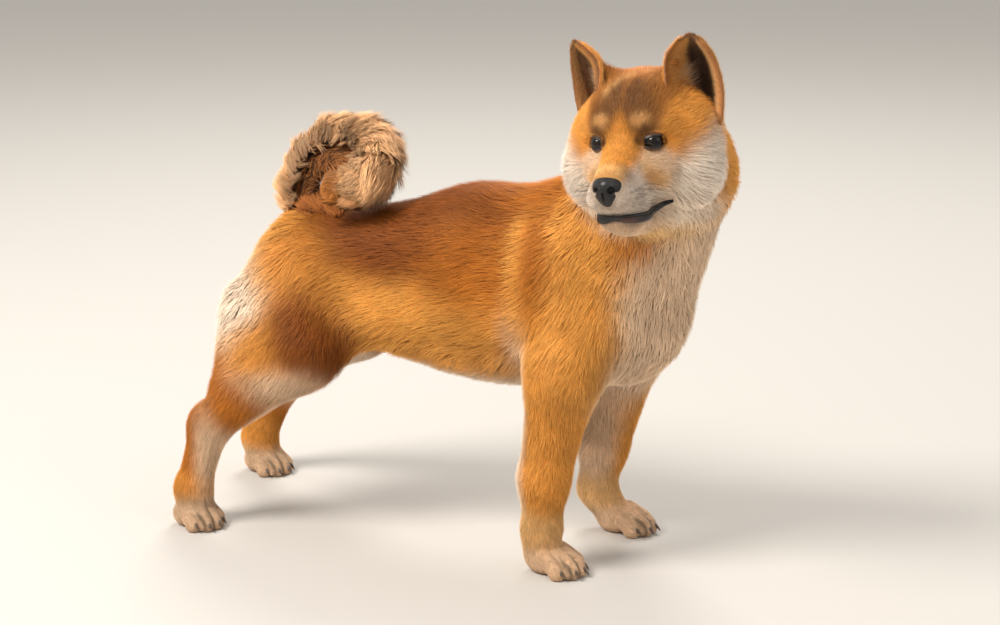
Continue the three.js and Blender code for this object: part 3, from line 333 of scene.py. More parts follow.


# The coat in zones: where each lies, how long and broad its tufts are, which way they lie and their colours.
# Colours are sRGB, of the tufts near their roots and at their tips.

# The saddle's deeper red, made darker still as painted shade where the back and the thigh lie in shade and
# in the fold at the stifle
SADDLE_RED_AND_SHADE = ((110, 54, 16), (158, 88, 28))
RED = ((160, 86, 22), (212, 130, 44))
GOLD = ((208, 126, 46), (246, 174, 84))
PALE_GOLD = ((222, 160, 94), (250, 206, 144))
CREAM = ((226, 190, 156), (252, 234, 212))
WARM_CREAM = ((214, 168, 128), (246, 214, 180))
GREY_CREAM = ((190, 166, 146), (232, 216, 200))
SABLE = ((110, 70, 36), (146, 96, 50))
GRIZZLED = ((138, 84, 36), (184, 120, 56))
BROW = ((198, 136, 76), (232, 178, 114))
BRIGHT_GOLD = ((218, 136, 54), (252, 184, 92))
WHITE = ((238, 210, 184), (255, 246, 232))


class Zone:
    """Where a zone of the coat is and how its tufts lie there: length and breadth, and the coat's depth."""

    def __init__(self, name, centre, radii, lie, length, breadth, depth, colours):
        self.name = name
        self.centre = np.array(centre, float)
        self.radii = np.array(radii, float)
        self.lie = unit(np.array(lie, float))
        self.length = length
        self.breadth = breadth
        self.depth = depth
        self.colours = [linear(colour) for colour in colours]


def linear(colour):
    c = np.array(colour, float) / 255
    return np.where(c < 0.04045, c / 12.92, ((c + 0.055) / 1.055) ** 2.4)


def pair(name, centre, radii, lie, *rest):
    """A zone on each side: centre and lie are given for the left."""
    return [
        Zone(name, (centre[0], side * centre[1], centre[2]), radii, (lie[0], side * lie[1], lie[2]), *rest)
        for side in (LEFT, RIGHT)
    ]


# Each row: name, centre, radii, lie, length and breadth of the tufts, depth of the coat, and colours
BODY_ZONES = [
    Zone("withers", (180, 0, 376), (60, 46, 30), (-1, 0, -0.1), 16, 0.6, 6, RED),
    Zone("back", (60, 0, 345), (86, 44, 30), (-1, 0, 0), 15, 0.6, 5, SADDLE_RED_AND_SHADE),
    Zone("loin", (-40, 0, 325), (60, 46, 30), (-1, 0, 0), 15, 0.6, 5, SADDLE_RED_AND_SHADE),
    *pair("back side", (30, 62, 300), (60, 24, 26), (-1, 0, -0.15), 15, 0.6, 5, SADDLE_RED_AND_SHADE),
    *pair("side", (108, 72, 292), (42, 26, 40), (-1, 0, -0.25), 15, 0.6, 5, RED),
    *pair("flank", (40, 66, 240), (80, 26, 30), (-1, 0, -0.35), 15, 0.6, 5, BRIGHT_GOLD),
    *pair("belly edge", (50, 44, 196), (84, 22, 14), (-0.8, 0, -0.9), 24, 0.75, 7, GOLD),
    Zone("belly", (60, 0, 178), (100, 40, 18), (-1, 0, -0.3), 18, 0.65, 6, CREAM),
    *pair("band", (169, 78, 306), (8, 26, 48), (-0.9, 0, -0.5), 16, 0.6, 6, BRIGHT_GOLD),
    *pair("shoulder front", (192, 78, 300), (12, 26, 46), (-0.8, 0, -0.6), 16, 0.6, 6, RED),
    *pair("shoulder", (222, 76, 280), (26, 28, 44), (-0.5, 0, -0.9), 15, 0.6, 5, BRIGHT_GOLD),
    *pair("arm", (222, 80, 226), (34, 26, 34), (-0.3, 0, -1), 13, 0.56, 4, BRIGHT_GOLD),
    Zone("chest", (304, -12, 276), (34, 44, 46), (-0.1, 0, -1), 20, 0.75, 7, WARM_CREAM),
    Zone("low chest", (270, 0, 200), (44, 44, 34), (-0.4, 0, -1), 18, 0.7, 6, WARM_CREAM),
    Zone("between forelegs", (210, 0, 176), (44, 30, 24), (-0.5, 0, -1), 18, 0.8, 6, CREAM),
    Zone("throat", (292, -80, 346), (26, 26, 16), (0, -0.2, -1), 18, 0.75, 7, RED),
    Zone("neck front", (318, -40, 344), (30, 32, 34), (0, 0, -1), 20, 0.75, 7, WARM_CREAM),
    *pair("neck side", (240, 72, 346), (30, 24, 42), (-0.6, 0, -0.9), 18, 0.7, 6, GOLD),
    Zone("nape", (238, 0, 416), (46, 44, 30), (-0.9, 0, -0.5), 24, 1.0, 8, SADDLE_RED_AND_SHADE),
    Zone("tail root", (-122, 0, 318), (24, 30, 18), (-0.3, 0, 1), 26, 0.9, 7, GOLD),
    Zone("rump", (-110, 0, 312), (30, 44, 24), (-0.7, 0, -0.6), 18, 0.7, 6, GOLD),
    *pair("haunch", (-100, 56, 278), (40, 26, 30), (-0.6, 0, -0.9), 16, 0.6, 6, GOLD),
    # The thigh and the stifle take the deep red partly as painted shade: on the front of the thigh and in
    # the fold before the stifle
    *pair("thigh", (-64, 84, 222), (34, 26, 38), (-0.45, 0, -1), 14, 0.6, 5, SADDLE_RED_AND_SHADE),
    *pair("back of thigh", (-118, 84, 200), (32, 26, 30), (-0.4, 0, -1), 16, 0.6, 6, GOLD),
    *pair("stifle", (-28, 70, 208), (22, 26, 26), (-0.5, 0, -1), 15, 0.6, 5, SADDLE_RED_AND_SHADE),
    *pair("buttock", (-146, 62, 246), (30, 34, 40), (-0.5, 0, -1), 20, 0.8, 8, CREAM),
    Zone("breech", (-164, 0, 230), (22, 60, 44), (-0.5, 0, -1), 28, 0.95, 9, CREAM),
    *pair("front of shank", (-80, 104, 158), (46, 22, 18), (-0.7, 0, -0.8), 11, 0.56, 3, WARM_CREAM),
    *pair("shank", (-138, 108, 140), (40, 16, 24), (-0.5, 0, -0.9), 10, 0.56, 3, RED),
    *pair("back of shank", (-172, 98, 160), (20, 24, 34), (-0.5, 0, -1), 12, 0.6, 4, RED),
    *pair("inner shank", (-130, 66, 146), (46, 16, 34), (-0.5, 0, -0.9), 12, 0.6, 3, CREAM),
    *pair("hock", (-204, 104, 96), (20, 18, 34), (-0.2, 0, -1), 8, 0.5, 2.4, RED),
    *pair("front of hock", (-168, 98, 94), (14, 22, 38), (-0.2, 0, -1), 8, 0.5, 2.4, WARM_CREAM),
    *pair("hind pastern", (-214, 98, 48), (26, 24, 16), (0, 0, -1), 7, 0.48, 2, GOLD),
    *pair("hind foot", (-206, 98, 14), (40, 30, 16), (0.7, 0, -0.6), 4.5, 0.36, 1.4, WARM_CREAM),
    *pair("foreleg", (204, 100, 130), (24, 18, 66), (-0.15, 0, -1), 9.5, 0.54, 3, GOLD),
    *pair("front of foreleg", (222, 74, 120), (14, 22, 60), (0, 0, -1), 9.5, 0.54, 3, GOLD),
    *pair("inner foreleg", (200, 46, 130), (24, 14, 66), (-0.15, 0, -1), 11, 0.58, 3, WARM_CREAM),
    *pair("back of foreleg", (166, 80, 140), (12, 22, 66), (-0.3, 0, -1), 12, 0.58, 3.5, CREAM),
    *pair("front pastern", (196, 74, 46), (26, 24, 16), (0.1, 0, -1), 7, 0.48, 2, PALE_GOLD),
    *pair("forefoot", (216, 74, 14), (34, 28, 16), (0.7, 0, -0.6), 4.5, 0.36, 1.4, WARM_CREAM),
]

HEAD_ZONES = [
    Zone("bridge", (70, 0, -10), (28, 10, 12), (-1, 0, 0.35), 3.2, 0.3, 1.2, GOLD),
    Zone("nose edge", (92, 0, -14), (8, 14, 8), (-1, 0, 0.35), 2.6, 0.28, 0.9, PALE_GOLD),
    *pair("muzzle", (72, 17, -38), (24, 8, 14), (-1, 0.3, -0.4), 3.8, 0.32, 1.3, GREY_CREAM),
    *pair("muzzle side", (52, 26, -24), (12, 8, 8), (-1, 0.4, -0.1), 4, 0.34, 1.4, PALE_GOLD),
    Zone("chin", (66, 0, -74), (24, 22, 8), (-1, 0, -0.4), 5, 0.4, 1.8, WARM_CREAM),
    Zone("stop", (46, 0, 12), (12, 6, 12), (-0.5, 0, 1), 3.6, 0.32, 1.4, GOLD),
    Zone("midline", (28, 0, 46), (26, 3, 18), (-0.9, 0, 0.7), 6, 0.4, 2.4, GRIZZLED),
    *pair("forehead", (34, 12, 38), (20, 12, 16), (-0.8, 0.15, 0.7), 6, 0.4, 2.4, SABLE),
    *pair("upper forehead", (12, 26, 50), (24, 14, 16), (-1, 0.1, 0.3), 8, 0.45, 3, GRIZZLED),
    Zone("crown", (-20, 0, 62), (26, 30, 16), (-1, 0, 0.1), 11, 0.55, 4, RED),
    *pair("brow", (52, 18, 24), (5, 6, 5), (-0.5, 0.5, 1), 3.4, 0.32, 1.3, BROW),
    *pair("under eye", (48, 30, -18), (10, 9, 8), (-1, 0.5, -0.5), 3.8, 0.34, 1.4, WARM_CREAM),
    *pair("eye corner", (34, 42, 4), (8, 8, 10), (-1, 0.6, 0.1), 4.4, 0.36, 1.8, GOLD),
    *pair("temple", (16, 52, 14), (20, 12, 20), (-1, 0.4, -0.1), 8, 0.45, 3, GOLD),
    *pair("cheek", (14, 68, -34), (26, 20, 28), (-0.9, 0.5, -0.5), 15, 0.7, 5, WHITE),
    *pair("jowl", (12, 46, -72), (34, 22, 18), (-0.7, 0.3, -1), 18, 0.8, 6, CREAM),
    Zone("under jaw", (10, 0, -94), (40, 30, 16), (-0.5, 0, -1), 18, 0.9, 7, PALE_GOLD),
    Zone("back of head", (-60, 0, 18), (24, 50, 40), (-0.8, 0, -0.6), 18, 0.8, 6, RED),
    *pair("back of cheek", (-42, 64, -30), (26, 20, 34), (-0.8, 0.3, -0.6), 20, 0.9, 7, GOLD),
]

# Where the zones of the body give way to those of the head: a place, the way from it into the head, how far
# the change reaches to both sides of it, and how far from the middle of the head its zones reach
HEAD_ROOT = np.array((-36.0, -14.0, -66.0))
HEAD_DIRECTION = unit(np.array((0.46, 0.36, 0.81)))
HEAD_BLEND = 16.0
HEAD_REACH = 135.0
BODY_CRISP, HEAD_CRISP = 1.5, 1.8  # how sharp the bounds of the zones are


# Eyes: their place in the head, the slit between the lids, how broad the lids are, and how far out they look

EYE = {"forward": 41.2, "aside": 24, "shift": 1, "up": 1.5, "radius": 10.8, "bulge": 0.9}
SOLID_EYE = (42.0, 22.0, 1.5)  # where the left eye of the solids is in the head
LIDS = {"half_length": 12.0, "above": 5.6, "below": 3.8, "breadth": 9}
GAZE = math.radians(40)


def eye_centre(side):
    return np.array((EYE["forward"], side * EYE["aside"] + EYE["shift"], EYE["up"]))


def gaze_frame(side):
    """The way an eye looks, outwards along its slit, and up."""
    gaze = unit(np.array((math.cos(GAZE), side * math.sin(GAZE), 0.08)))
    outward = np.array((-math.sin(GAZE), side * math.cos(GAZE), 0))
    outward = unit(outward - outward @ gaze * gaze)
    upward = np.cross(gaze, outward) if side > 0 else np.cross(outward, gaze)
    return gaze, outward, upward


def out_of_slit(local, side):
    """How far out of an eye's slit points are, seen from the eye: 0 in its middle and 1 on its rim."""
    gaze, outward, upward = gaze_frame(side)
    ray = local - eye_centre(side)
    height = ray @ upward
    high = np.where(height > 0, LIDS["above"], LIDS["below"])
    out = np.hypot(ray @ outward / LIDS["half_length"], height / high)
    return np.where((ray @ gaze > 0) & (np.linalg.norm(ray, axis=1) < 30), out, 9)


def away_from_eyes(local):
    """How the hair parts round the eyes."""
    parting = np.zeros_like(local)
    for side in (LEFT, RIGHT):
        gaze = gaze_frame(side)[0]
        away = unit(local - eye_centre(side) - 12 * gaze)
        parting += away * (1.6 * np.exp(-((out_of_slit(local, side) - 1) / 0.55) ** 2))[:, None]
    return parting


def zone_shares(zones, points, crisp):
    """How far each zone rules at each point, as weights that add up to one."""
    q = np.stack([(((points - zone.centre) / zone.radii) ** 2).sum(1) for zone in zones])
    weight = np.exp(-crisp * (q - q.min(0)) / (1 + 0.25 * q.min(0)))
    return weight / weight.sum(0)


class Coat:
    """What the coat is like at each of many points."""

    def __init__(self, points):
        local = to_head(points)
        above = (local - HEAD_ROOT) @ HEAD_DIRECTION
        near = np.linalg.norm(local, axis=1) < HEAD_REACH
        on_head = np.where(near, ease(-HEAD_BLEND, HEAD_BLEND, above), 0)
        of_body = zone_shares(BODY_ZONES, points, BODY_CRISP)
        of_head = zone_shares(HEAD_ZONES, local, HEAD_CRISP)

        def mixed(value, turn=False):
            body = np.tensordot(of_body, np.array([value(zone) for zone in BODY_ZONES], float), (0, 0))
            head = np.tensordot(of_head, np.array([value(zone) for zone in HEAD_ZONES], float), (0, 0))
            if turn:
                head = head @ HEAD_TURN.T
            share = on_head if body.ndim == 1 else on_head[:, None]
            return body + (head - body) * share

        self.local = local
        self.on_head = on_head
        self.fold = fold_depth(points)
        self.length = mixed(lambda zone: zone.length)
        self.breadth = mixed(lambda zone: zone.breadth)
        self.depth = mixed(lambda zone: zone.depth)
        parting = away_from_eyes(local) @ HEAD_TURN.T * on_head[:, None]
        self.lie = unit(mixed(lambda zone: zone.lie, turn=True) + parting)
        self.root_colour = mixed(lambda zone: zone.colours[0])
        self.tip_colour = mixed(lambda zone: zone.colours[1])


def coat_depth(points):
    """How far the skin lies inside the outer form."""
    depth = np.empty(len(points))
    for part in np.array_split(np.arange(len(points)), max(1, len(points) // 60000)):
        depth[part] = Coat(points[part]).depth
    return depth * ease(3, 12, points[:, 2])


def skin_form(points):
    """The skin of the body and the core of the tail, negative inside."""
    d = flesh(points)
    close = np.abs(d) < 26
    d[close] += coat_depth(points[close])
    d[~close] += 8
    d = np.minimum(d, FAR)
    tail = (points[:, 0] < 20) & (points[:, 2] > 250)
    if tail.any():
        d[tail] = smooth_min(d[tail], joined(TAIL_CORE, points[tail]), 9)
    nose = np.linalg.norm(points - from_head((91, 0, -30)), axis=1) < 30
    if nose.any():
        d[nose] = smooth_max(d[nose], -3 - joined(NOSE, to_head(points[nose])), 2)
    return np.maximum(d, 0.4 - points[:, 2])


# Meshing: the surface where a form is zero

def grid_lines(low, high, coarse, fine=None, between=None):
    """The lines of a grid along one axis, finer between two bounds."""
    lines = [low]
    while lines[-1] < high:
        inside = between is not None and between[0] <= lines[-1] < between[1]
        lines.append(lines[-1] + (fine if inside else coarse))
    return np.array(lines)


def values_on_grid(form, axes, block=5):
    """The form's values on a grid. Only blocks that the surface may cross are worked out in full."""
    shape = [len(axis) for axis in axes]
    values = np.full(shape, FAR, np.float32)
    starts = [np.arange(0, n, block) for n in shape]
    ends = [np.minimum(start + block - 1, n - 1) for start, n in zip(starts, shape)]
    middles = [(axis[start] + axis[end]) / 2 for axis, start, end in zip(axes, starts, ends)]
    halves = [(axis[end] - axis[start]) / 2 + 3 for axis, start, end in zip(axes, starts, ends)]
    centres = np.stack(np.meshgrid(*middles, indexing="ij"), -1).reshape(-1, 3)
    radii = np.linalg.norm(np.stack(np.meshgrid(*halves, indexing="ij"), -1).reshape(-1, 3), axis=1)
    coarse = form(centres)
    crossed = np.abs(coarse) < 1.6 * radii + 4
    corners = np.stack(np.meshgrid(*starts, indexing="ij"), -1).reshape(-1, 3)
    inner = np.argwhere(~crossed & (coarse < 0)).ravel()
    for i, j, k in corners[inner]:
        values[i:i + block, j:j + block, k:k + block] = -FAR
    steps = np.stack(np.meshgrid(*[np.arange(block)] * 3, indexing="ij"), -1).reshape(-1, 3)
    for part in np.array_split(corners[crossed], max(1, crossed.sum() // 1500)):
        places = (part[:, None] + steps).reshape(-1, 3)
        places = places[(places < shape).all(1)]
        i, j, k = places.T
        values[i, j, k] = form(np.stack([axes[0][i], axes[1][j], axes[2][k]], 1))
    return values


CORNERS = [(0, 0, 0), (1, 0, 0), (0, 1, 0), (1, 1, 0), (0, 0, 1), (1, 0, 1), (0, 1, 1), (1, 1, 1)]
CELL_EDGES = [(0, 1), (2, 3), (4, 5), (6, 7), (0, 2), (1, 3), (4, 6), (5, 7), (0, 4), (1, 5), (2, 6), (3, 7)]


def cell_points(values, active, axes):
    """One point for each crossed cell: the middle of the places where the surface crosses its edges."""
    corner = [values[tuple((active + step).T)] for step in CORNERS]
    total = np.zeros((len(active), 3))
    crossings = np.zeros(len(active))
    for a, b in CELL_EDGES:
        crosses = (corner[a] < 0) != (corner[b] < 0)
        gap = corner[a] - corner[b]
        t = np.where(crosses, corner[a] / np.where(gap == 0, 1, gap), 0)
        spot = np.array(CORNERS[a]) + t[:, None] * (np.array(CORNERS[b]) - np.array(CORNERS[a]))
        total += np.where(crosses[:, None], spot, 0)
        crossings += crosses
    share = total / crossings[:, None]
    return np.stack([
        axes[n][active[:, n]] + share[:, n] * np.diff(axes[n])[active[:, n]] for n in range(3)
    ], 1)


def cell_quads(inside, name):
    """A quad over each line of the grid that the surface crosses, from the four cells round it."""
    quads = []
    for axis in range(3):
        step, p, q = (np.eye(3, dtype=int)[(axis + n) % 3] for n in range(3))
        here = inside[tuple(slice(0, n - s) for n, s in zip(inside.shape, step))]
        there = inside[tuple(slice(s, None) for s in step)]
        for flip in (False, True):
            edges = np.argwhere((there & ~here) if flip else (here & ~there))
            edges = edges[((edges - p - q) >= 0).all(1) & (edges < name.shape).all(1)]
            ring = np.stack([name[tuple((edges - shift).T)] for shift in (0 * p, p, p + q, q)], 1)
            quads.append(ring[:, ::-1] if flip else ring)
    return np.concatenate(quads)


def surface(form, axes):
    """Vertices and quads of the surface where the form is zero: one vertex in each cell that it crosses."""
    values = values_on_grid(form, axes)
    inside = values < 0
    cells = np.zeros([n - 1 for n in values.shape], np.int8)
    for a, b, c in CORNERS:
        cells += inside[a:a + cells.shape[0], b:b + cells.shape[1], c:c + cells.shape[2]]
    active = np.argwhere((cells > 0) & (cells < 8))
    name = np.full(cells.shape, -1, np.int32)
    name[tuple(active.T)] = np.arange(len(active))
    quads = cell_quads(inside, name)
    return settled(form, cell_points(values, active, axes), quads), quads


def gradient(form, points, step=0.6):
    parts = []
    for axis in range(3):
        shift = np.eye(3)[axis] * step
        parts.append((form(points + shift) - form(points - shift)) / (2 * step))
    return np.stack(parts, 1)


def settled(form, points, quads, rounds=2):
    """Evens out the vertices over the surface of the form."""
    edges = np.concatenate([quads[:, [n, (n + 1) % 4]] for n in range(4)])
    count = np.bincount(edges.ravel(), minlength=len(points))[:, None]
    for _ in range(rounds):
        total = np.zeros_like(points)
        np.add.at(total, edges[:, 0], points[edges[:, 1]])
        np.add.at(total, edges[:, 1], points[edges[:, 0]])
        points = points + 0.5 * (total / np.maximum(count, 1) - points)
        slope = gradient(form, points)
        size2 = np.maximum((slope ** 2).sum(1), 0.1)
        move = np.clip(form(points) / np.sqrt(size2), -3, 3) / np.sqrt(size2)
        points = points - slope * move[:, None]
    return points


# Blender objects from arrays

low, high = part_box("eye_left")
OFFSET = (np.array(low) + np.array(high)) / 2 - from_head(SOLID_EYE) * MM


def place(points):
    """From the sculpt's frame in millimetres to the model's frame in metres."""
    return np.asarray(points, float) * MM + OFFSET


def add_object(name, data):
    thing = bpy.data.objects.new(name, data)
    bpy.context.scene.collection.objects.link(thing)
    return thing


def mesh_object(name, points, faces, material, tint=None, normals=None):
    """faces: one array of triangles or quads, or a list of such arrays."""
    groups = faces if isinstance(faces, list) else [faces]
    corners = np.concatenate([group.ravel() for group in groups]).astype(np.int32)
    sizes = np.concatenate([np.full(len(group), group.shape[1]) for group in groups])
    mesh = bpy.data.meshes.new(name)
    mesh.vertices.add(len(points))
    mesh.vertices.foreach_set("co", place(points).astype(np.float32).ravel())
    mesh.loops.add(len(corners))
    mesh.loops.foreach_set("vertex_index", corners)
    mesh.polygons.add(len(sizes))
    mesh.polygons.foreach_set("loop_start", np.concatenate([[0], np.cumsum(sizes)[:-1]]).astype(np.int32))
    mesh.update(calc_edges=True)
    mesh.shade_smooth()
    if normals is not None:
        shading = mesh.attributes.new("custom_normal", "FLOAT_VECTOR", "POINT")
        shading.data.foreach_set("vector", normals.astype(np.float32).ravel())
    if tint is not None:
        colours = mesh.attributes.new("tint", "FLOAT_COLOR", "POINT")
        rgba = np.concatenate([tint, np.ones((len(tint), 1))], 1).astype(np.float32)
        colours.data.foreach_set("color", rgba.ravel())
    mesh.materials.append(material)
    piece = add_object(name, mesh)
    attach(piece, "root")
    return piece


def triangles_of(quads):
    return np.concatenate([quads[:, [0, 1, 2]], quads[:, [0, 2, 3]]])


def loft_faces(rings, sides):
    """The quads of a skin over closed rings of points."""
    r = np.arange(rings - 1)[:, None] * sides
    s, after = np.arange(sides)[None], (np.arange(sides)[None] + 1) % sides
    quads = ((r + s), (r + after), (r + sides + after), (r + sides + s))
    return np.stack([corner.ravel() for corner in quads], 1)


# Materials

# The finish of each surface whose colour is kept in its mesh
FINISHES = {
    "coat": {"Roughness": 0.62, "Specular IOR Level": 0.18, "Sheen Weight": 0.05, "Sheen Roughness": 0.4},
    "eye": {
        "Roughness": 0.16, "Specular IOR Level": 0.0,
        "Coat Weight": 1.0, "Coat Roughness": 0.02, "Coat IOR": 1.4,
    },
    "lid": {"Roughness": 0.45, "Coat Weight": 0.1, "Coat Roughness": 0.35},
    "lip_leather": {"Roughness": 0.5, "Coat Weight": 0.05, "Coat Roughness": 0.3},
    "claw_horn": {"Roughness": 0.35, "Coat Weight": 0.3, "Coat Roughness": 0.2},
    "whisker": {"Roughness": 0.4},
}
NOSE_BLACK = (16, 14, 14)


def new_material(name):
    material = bpy.data.materials.new(name)
    material.use_nodes = True
    nodes, links = material.node_tree.nodes, material.node_tree.links
    return material, nodes, links, nodes["Principled BSDF"]


def set_inputs(node, values):
    for name, value in values.items():
        node.inputs[name].default_value = value


def tint_colour(nodes):
    """The socket of the colour that is kept in the mesh."""
    tint = nodes.new("ShaderNodeAttribute")
    tint.attribute_name = "tint"
    return tint.outputs["Color"]


def tinted_material(name):
    """A surface whose colour is kept in the mesh, such as fur, eyes, lids and claws."""
    material, nodes, links, shader = new_material(name)
    links.new(tint_colour(nodes), shader.inputs["Base Color"])
    set_inputs(shader, FINISHES[name])
    return material


def skin_material():
    """The skin and its underfur: the same markings, in fine streaks."""
    material, nodes, links, shader = new_material("skin")
    noise = nodes.new("ShaderNodeTexNoise")
    set_inputs(noise, {"Scale": 900, "Detail": 3})
    shade = nodes.new("ShaderNodeMix")
    shade.data_type = "RGBA"
    shade.blend_type = "MULTIPLY"
    shade.inputs["Factor"].default_value = 0.5
    bump = nodes.new("ShaderNodeBump")
    set_inputs(bump, {"Strength": 0.6, "Distance": 0.0008})
    links.new(tint_colour(nodes), shade.inputs["A"])
    links.new(noise.outputs["Fac"], shade.inputs["B"])
    links.new(shade.outputs["Result"], shader.inputs["Base Color"])
    links.new(noise.outputs["Fac"], bump.inputs["Height"])
    links.new(bump.outputs["Normal"], shader.inputs["Normal"])
    set_inputs(shader, {"Roughness": 0.85, "Specular IOR Level": 0.15})
    return material


def nose_material():
    """Bare moist skin with a fine pebbled grain."""
    material, nodes, links, shader = new_material("nose_leather")
    cells = nodes.new("ShaderNodeTexVoronoi")
    cells.inputs["Scale"].default_value = 620
    bump = nodes.new("ShaderNodeBump")
    set_inputs(bump, {"Strength": 0.5, "Distance": 0.0004})
    tone = nodes.new("ShaderNodeValToRGB")
    tone.color_ramp.elements[0].color = (*linear(NOSE_BLACK) * 1.25, 1)
    tone.color_ramp.elements[1].color = (*linear(NOSE_BLACK) * 0.6, 1)
    links.new(cells.outputs["Distance"], tone.inputs["Fac"])
    links.new(tone.outputs["Color"], shader.inputs["Base Color"])
    links.new(cells.outputs["Distance"], bump.inputs["Height"])
    links.new(bump.outputs["Normal"], shader.inputs["Normal"])
    set_inputs(shader, {"Roughness": 0.34, "Specular IOR Level": 0.3})
    set_inputs(shader, {"Coat Weight": 0.3, "Coat Roughness": 0.2})
    return material


# Markings that the zones are too broad for, each a soft patch in the head's frame: its place, size, colour
# and strength. The last ones are a pale stripe over the crown.

PALE_STRIPE = ((0, 7, 60), (12, -4, 57), (22, -13, 52), (31, -20, 45))
HEAD_MARKS = [
    *both(lambda side: ((53, side * 16, 4), (5, 3.5, 5), (50, 32, 22), 0.75)),
    *both(lambda side: ((51, side * 22, 16), (4, 4, 4), (84, 54, 34), 0.75)),
    *both(lambda side: ((60, side * 26, -27), (10, 8, 8), (166, 108, 66), 0.6)),
    *both(lambda side: ((84, side * 15, -20), (6, 5, 8), (120, 92, 78), 0.5)),
    *both(lambda side: ((34, side * 43, -9), (7, 6, 6), (218, 142, 76), 0.5)),
    *both(lambda side: ((-30, side * 78, -10), (22, 12, 30), (190, 130, 84), 0.5)),
    *[(spot, (8, 5, 6), (232, 176, 112), 0.55) for spot in PALE_STRIPE],
]
TICKS = ((34, 4, 42), (22, 26, 20))  # where dark hairs stand among the red ones on the forehead
WHISKER_ROWS = ((-31, 70), (-37, 67), (-43, 69), (-48, 74))  # height and foremost spot of each row
WHISKER_STEP = 5.5
TOE_LENGTH = 50.0
CLEFT = 1.5  # how broad the painted shade in the cleft between two toes is


def marked(points, coat, colour):
    """The colour with the fine markings of the face and the shade of folds and toes put on it."""
    for centre, radii, paint, strength in HEAD_MARKS:
        q = (coat.local - centre) / radii
        share = strength * coat.on_head * np.exp(-(q ** 2).sum(1))
        colour = colour + (linear(paint) - colour) * share[:, None]
    shade = np.ones(len(points))
    u, v, w = coat.local.T
    for height, first in WHISKER_ROWS:
        for n in range(5):
            away = np.hypot(u - first - WHISKER_STEP * n, w - height + 0.5 * n)
            shade -= 0.4 * coat.on_head * (1 - ease(0.7, 1.9, away)) * (np.abs(v) > 8)
    face = np.flatnonzero((u > 20) & (w < -30) & (coat.on_head > 0.3))
    shade[face] -= 0.5 * np.exp(-(from_lips(coat.local[face]) / 1.7) ** 2)
    # Painted shade in the folds of the coat and in the clefts between the toes
    shade -= 0.09 * coat.fold + 0.7 * between_toes(points)
    return colour * np.clip(shade, 0.15, 1)[:, None]


def between_toes(points):
    """How much painted shade lies in the cleft between two toes: 1 in its middle and 0 away from it."""
    cleft = np.zeros(len(points))
    low = np.flatnonzero(points[:, 2] < 34)
    for foot, heading, size in PAWS.values():
        c, s = math.cos(math.radians(heading)), math.sin(math.radians(heading))
        x, y = ((points[low, :2] - foot[:2]) / size).T
        forward, across = x * c + y * s, y * c - x * s
        here = ease(14, 24, forward) * (forward < TOE_LENGTH) * (np.abs(across) < 20)
        for (a, _), (b, _) in zip(TOES, TOES[1:]):
            cleft[low] += here * np.exp(-((across - (a + b) / 2) / CLEFT) ** 2)
    return cleft


# The coat

class Tufts:
    """Many tufts: where each starts, bends and ends, the way it faces, its breadth and its colours."""

    def __init__(self, roots, middles, tips, normals, breadth, root_colour, tip_colour):
        self.roots = roots
        self.middles = middles
        self.tips = tips
        self.normals = normals
        self.breadth = breadth
        self.root_colour = root_colour
        self.tip_colour = tip_colour

    def some(self, which):
        return Tufts(*[value[which] for value in vars(self).values()])


def tuft_mesh(tufts, bent):
    """Each tuft as a slender closed spike of three sides, straight or with a bend in its middle."""
    along = unit(tufts.tips - tufts.roots)
    across = unit(np.cross(along, tufts.normals))
    up = np.cross(across, along)
    half = (tufts.breadth / 2)[:, None]
    facing = unit(0.6 * tufts.normals + 0.4 * up)
    stations = [(tufts.roots, 0.85, tufts.root_colour)]
    if bent:
        stations.append((tufts.middles, 1.0, 0.45 * tufts.root_colour + 0.55 * tufts.tip_colour))
    points, normals, tint = [], [], []
    for centre, share, colour in stations:
        for way in (across, 0.7 * up, -across):
            points.append(centre + way * half * share)
            normals.append(unit(facing + 0.4 * way))
            tint.append(colour)
    points.append(tufts.tips)
    normals.append(facing)
    tint.append(tufts.tip_colour)
    count = len(points)
    base = count * np.arange(len(tufts.roots))[:, None]
    last = count - 4
    faces = [np.concatenate([base + (last + a, count - 1, last + b) for a, b in ((0, 1), (1, 2), (2, 0))])]
    if bent:
        faces.insert(0, np.concatenate([base + (a, a + 3, b + 3, b) for a, b in ((0, 1), (1, 2), (2, 0))]))
    flat = [np.stack(group, 1).reshape(-1, 3) for group in (points, normals, tint)]
    return flat[0], faces, flat[1], flat[2], count


def clumped(roots, tips, cell, pull, seed):
    """Tips drawn together, as hair that sticks in locks: those of one cell lean to their leader's tip."""
    wobble = wave_field(roots, 2.5 * cell, seed)
    keys = np.floor((roots + 0.45 * cell * wobble) / cell).astype(int)
    _, first, owner = np.unique(keys, axis=0, return_index=True, return_inverse=True)
    leader = first[owner.ravel()]
    return tips + pull[:, None] * (tips[leader] - tips), leader


def roots_on(points, quads, cover, rng, allowed):
    """Random places on a mesh, as many as it takes to cover it with tufts of the zones' sizes."""
    corners = triangles_of(quads)
    a, b, c = (points[corners[:, n]] for n in range(3))
    out = np.cross(b - a, c - a)
    area = np.linalg.norm(out, axis=1) / 2
    coat = Coat((a + b + c) / 3)
    count = rng.poisson(cover * area / (coat.length * coat.breadth))
    pick = np.repeat(np.arange(len(corners)), count)
    s, t = rng.uniform(size=(2, len(pick)))
    flip = s + t > 1
    s, t = np.where(flip, 1 - s, s), np.where(flip, 1 - t, t)
    places = a[pick] + s[:, None] * (b - a)[pick] + t[:, None] * (c - a)[pick]
    keep = allowed(places)
    return places[keep], unit(out[pick][keep])


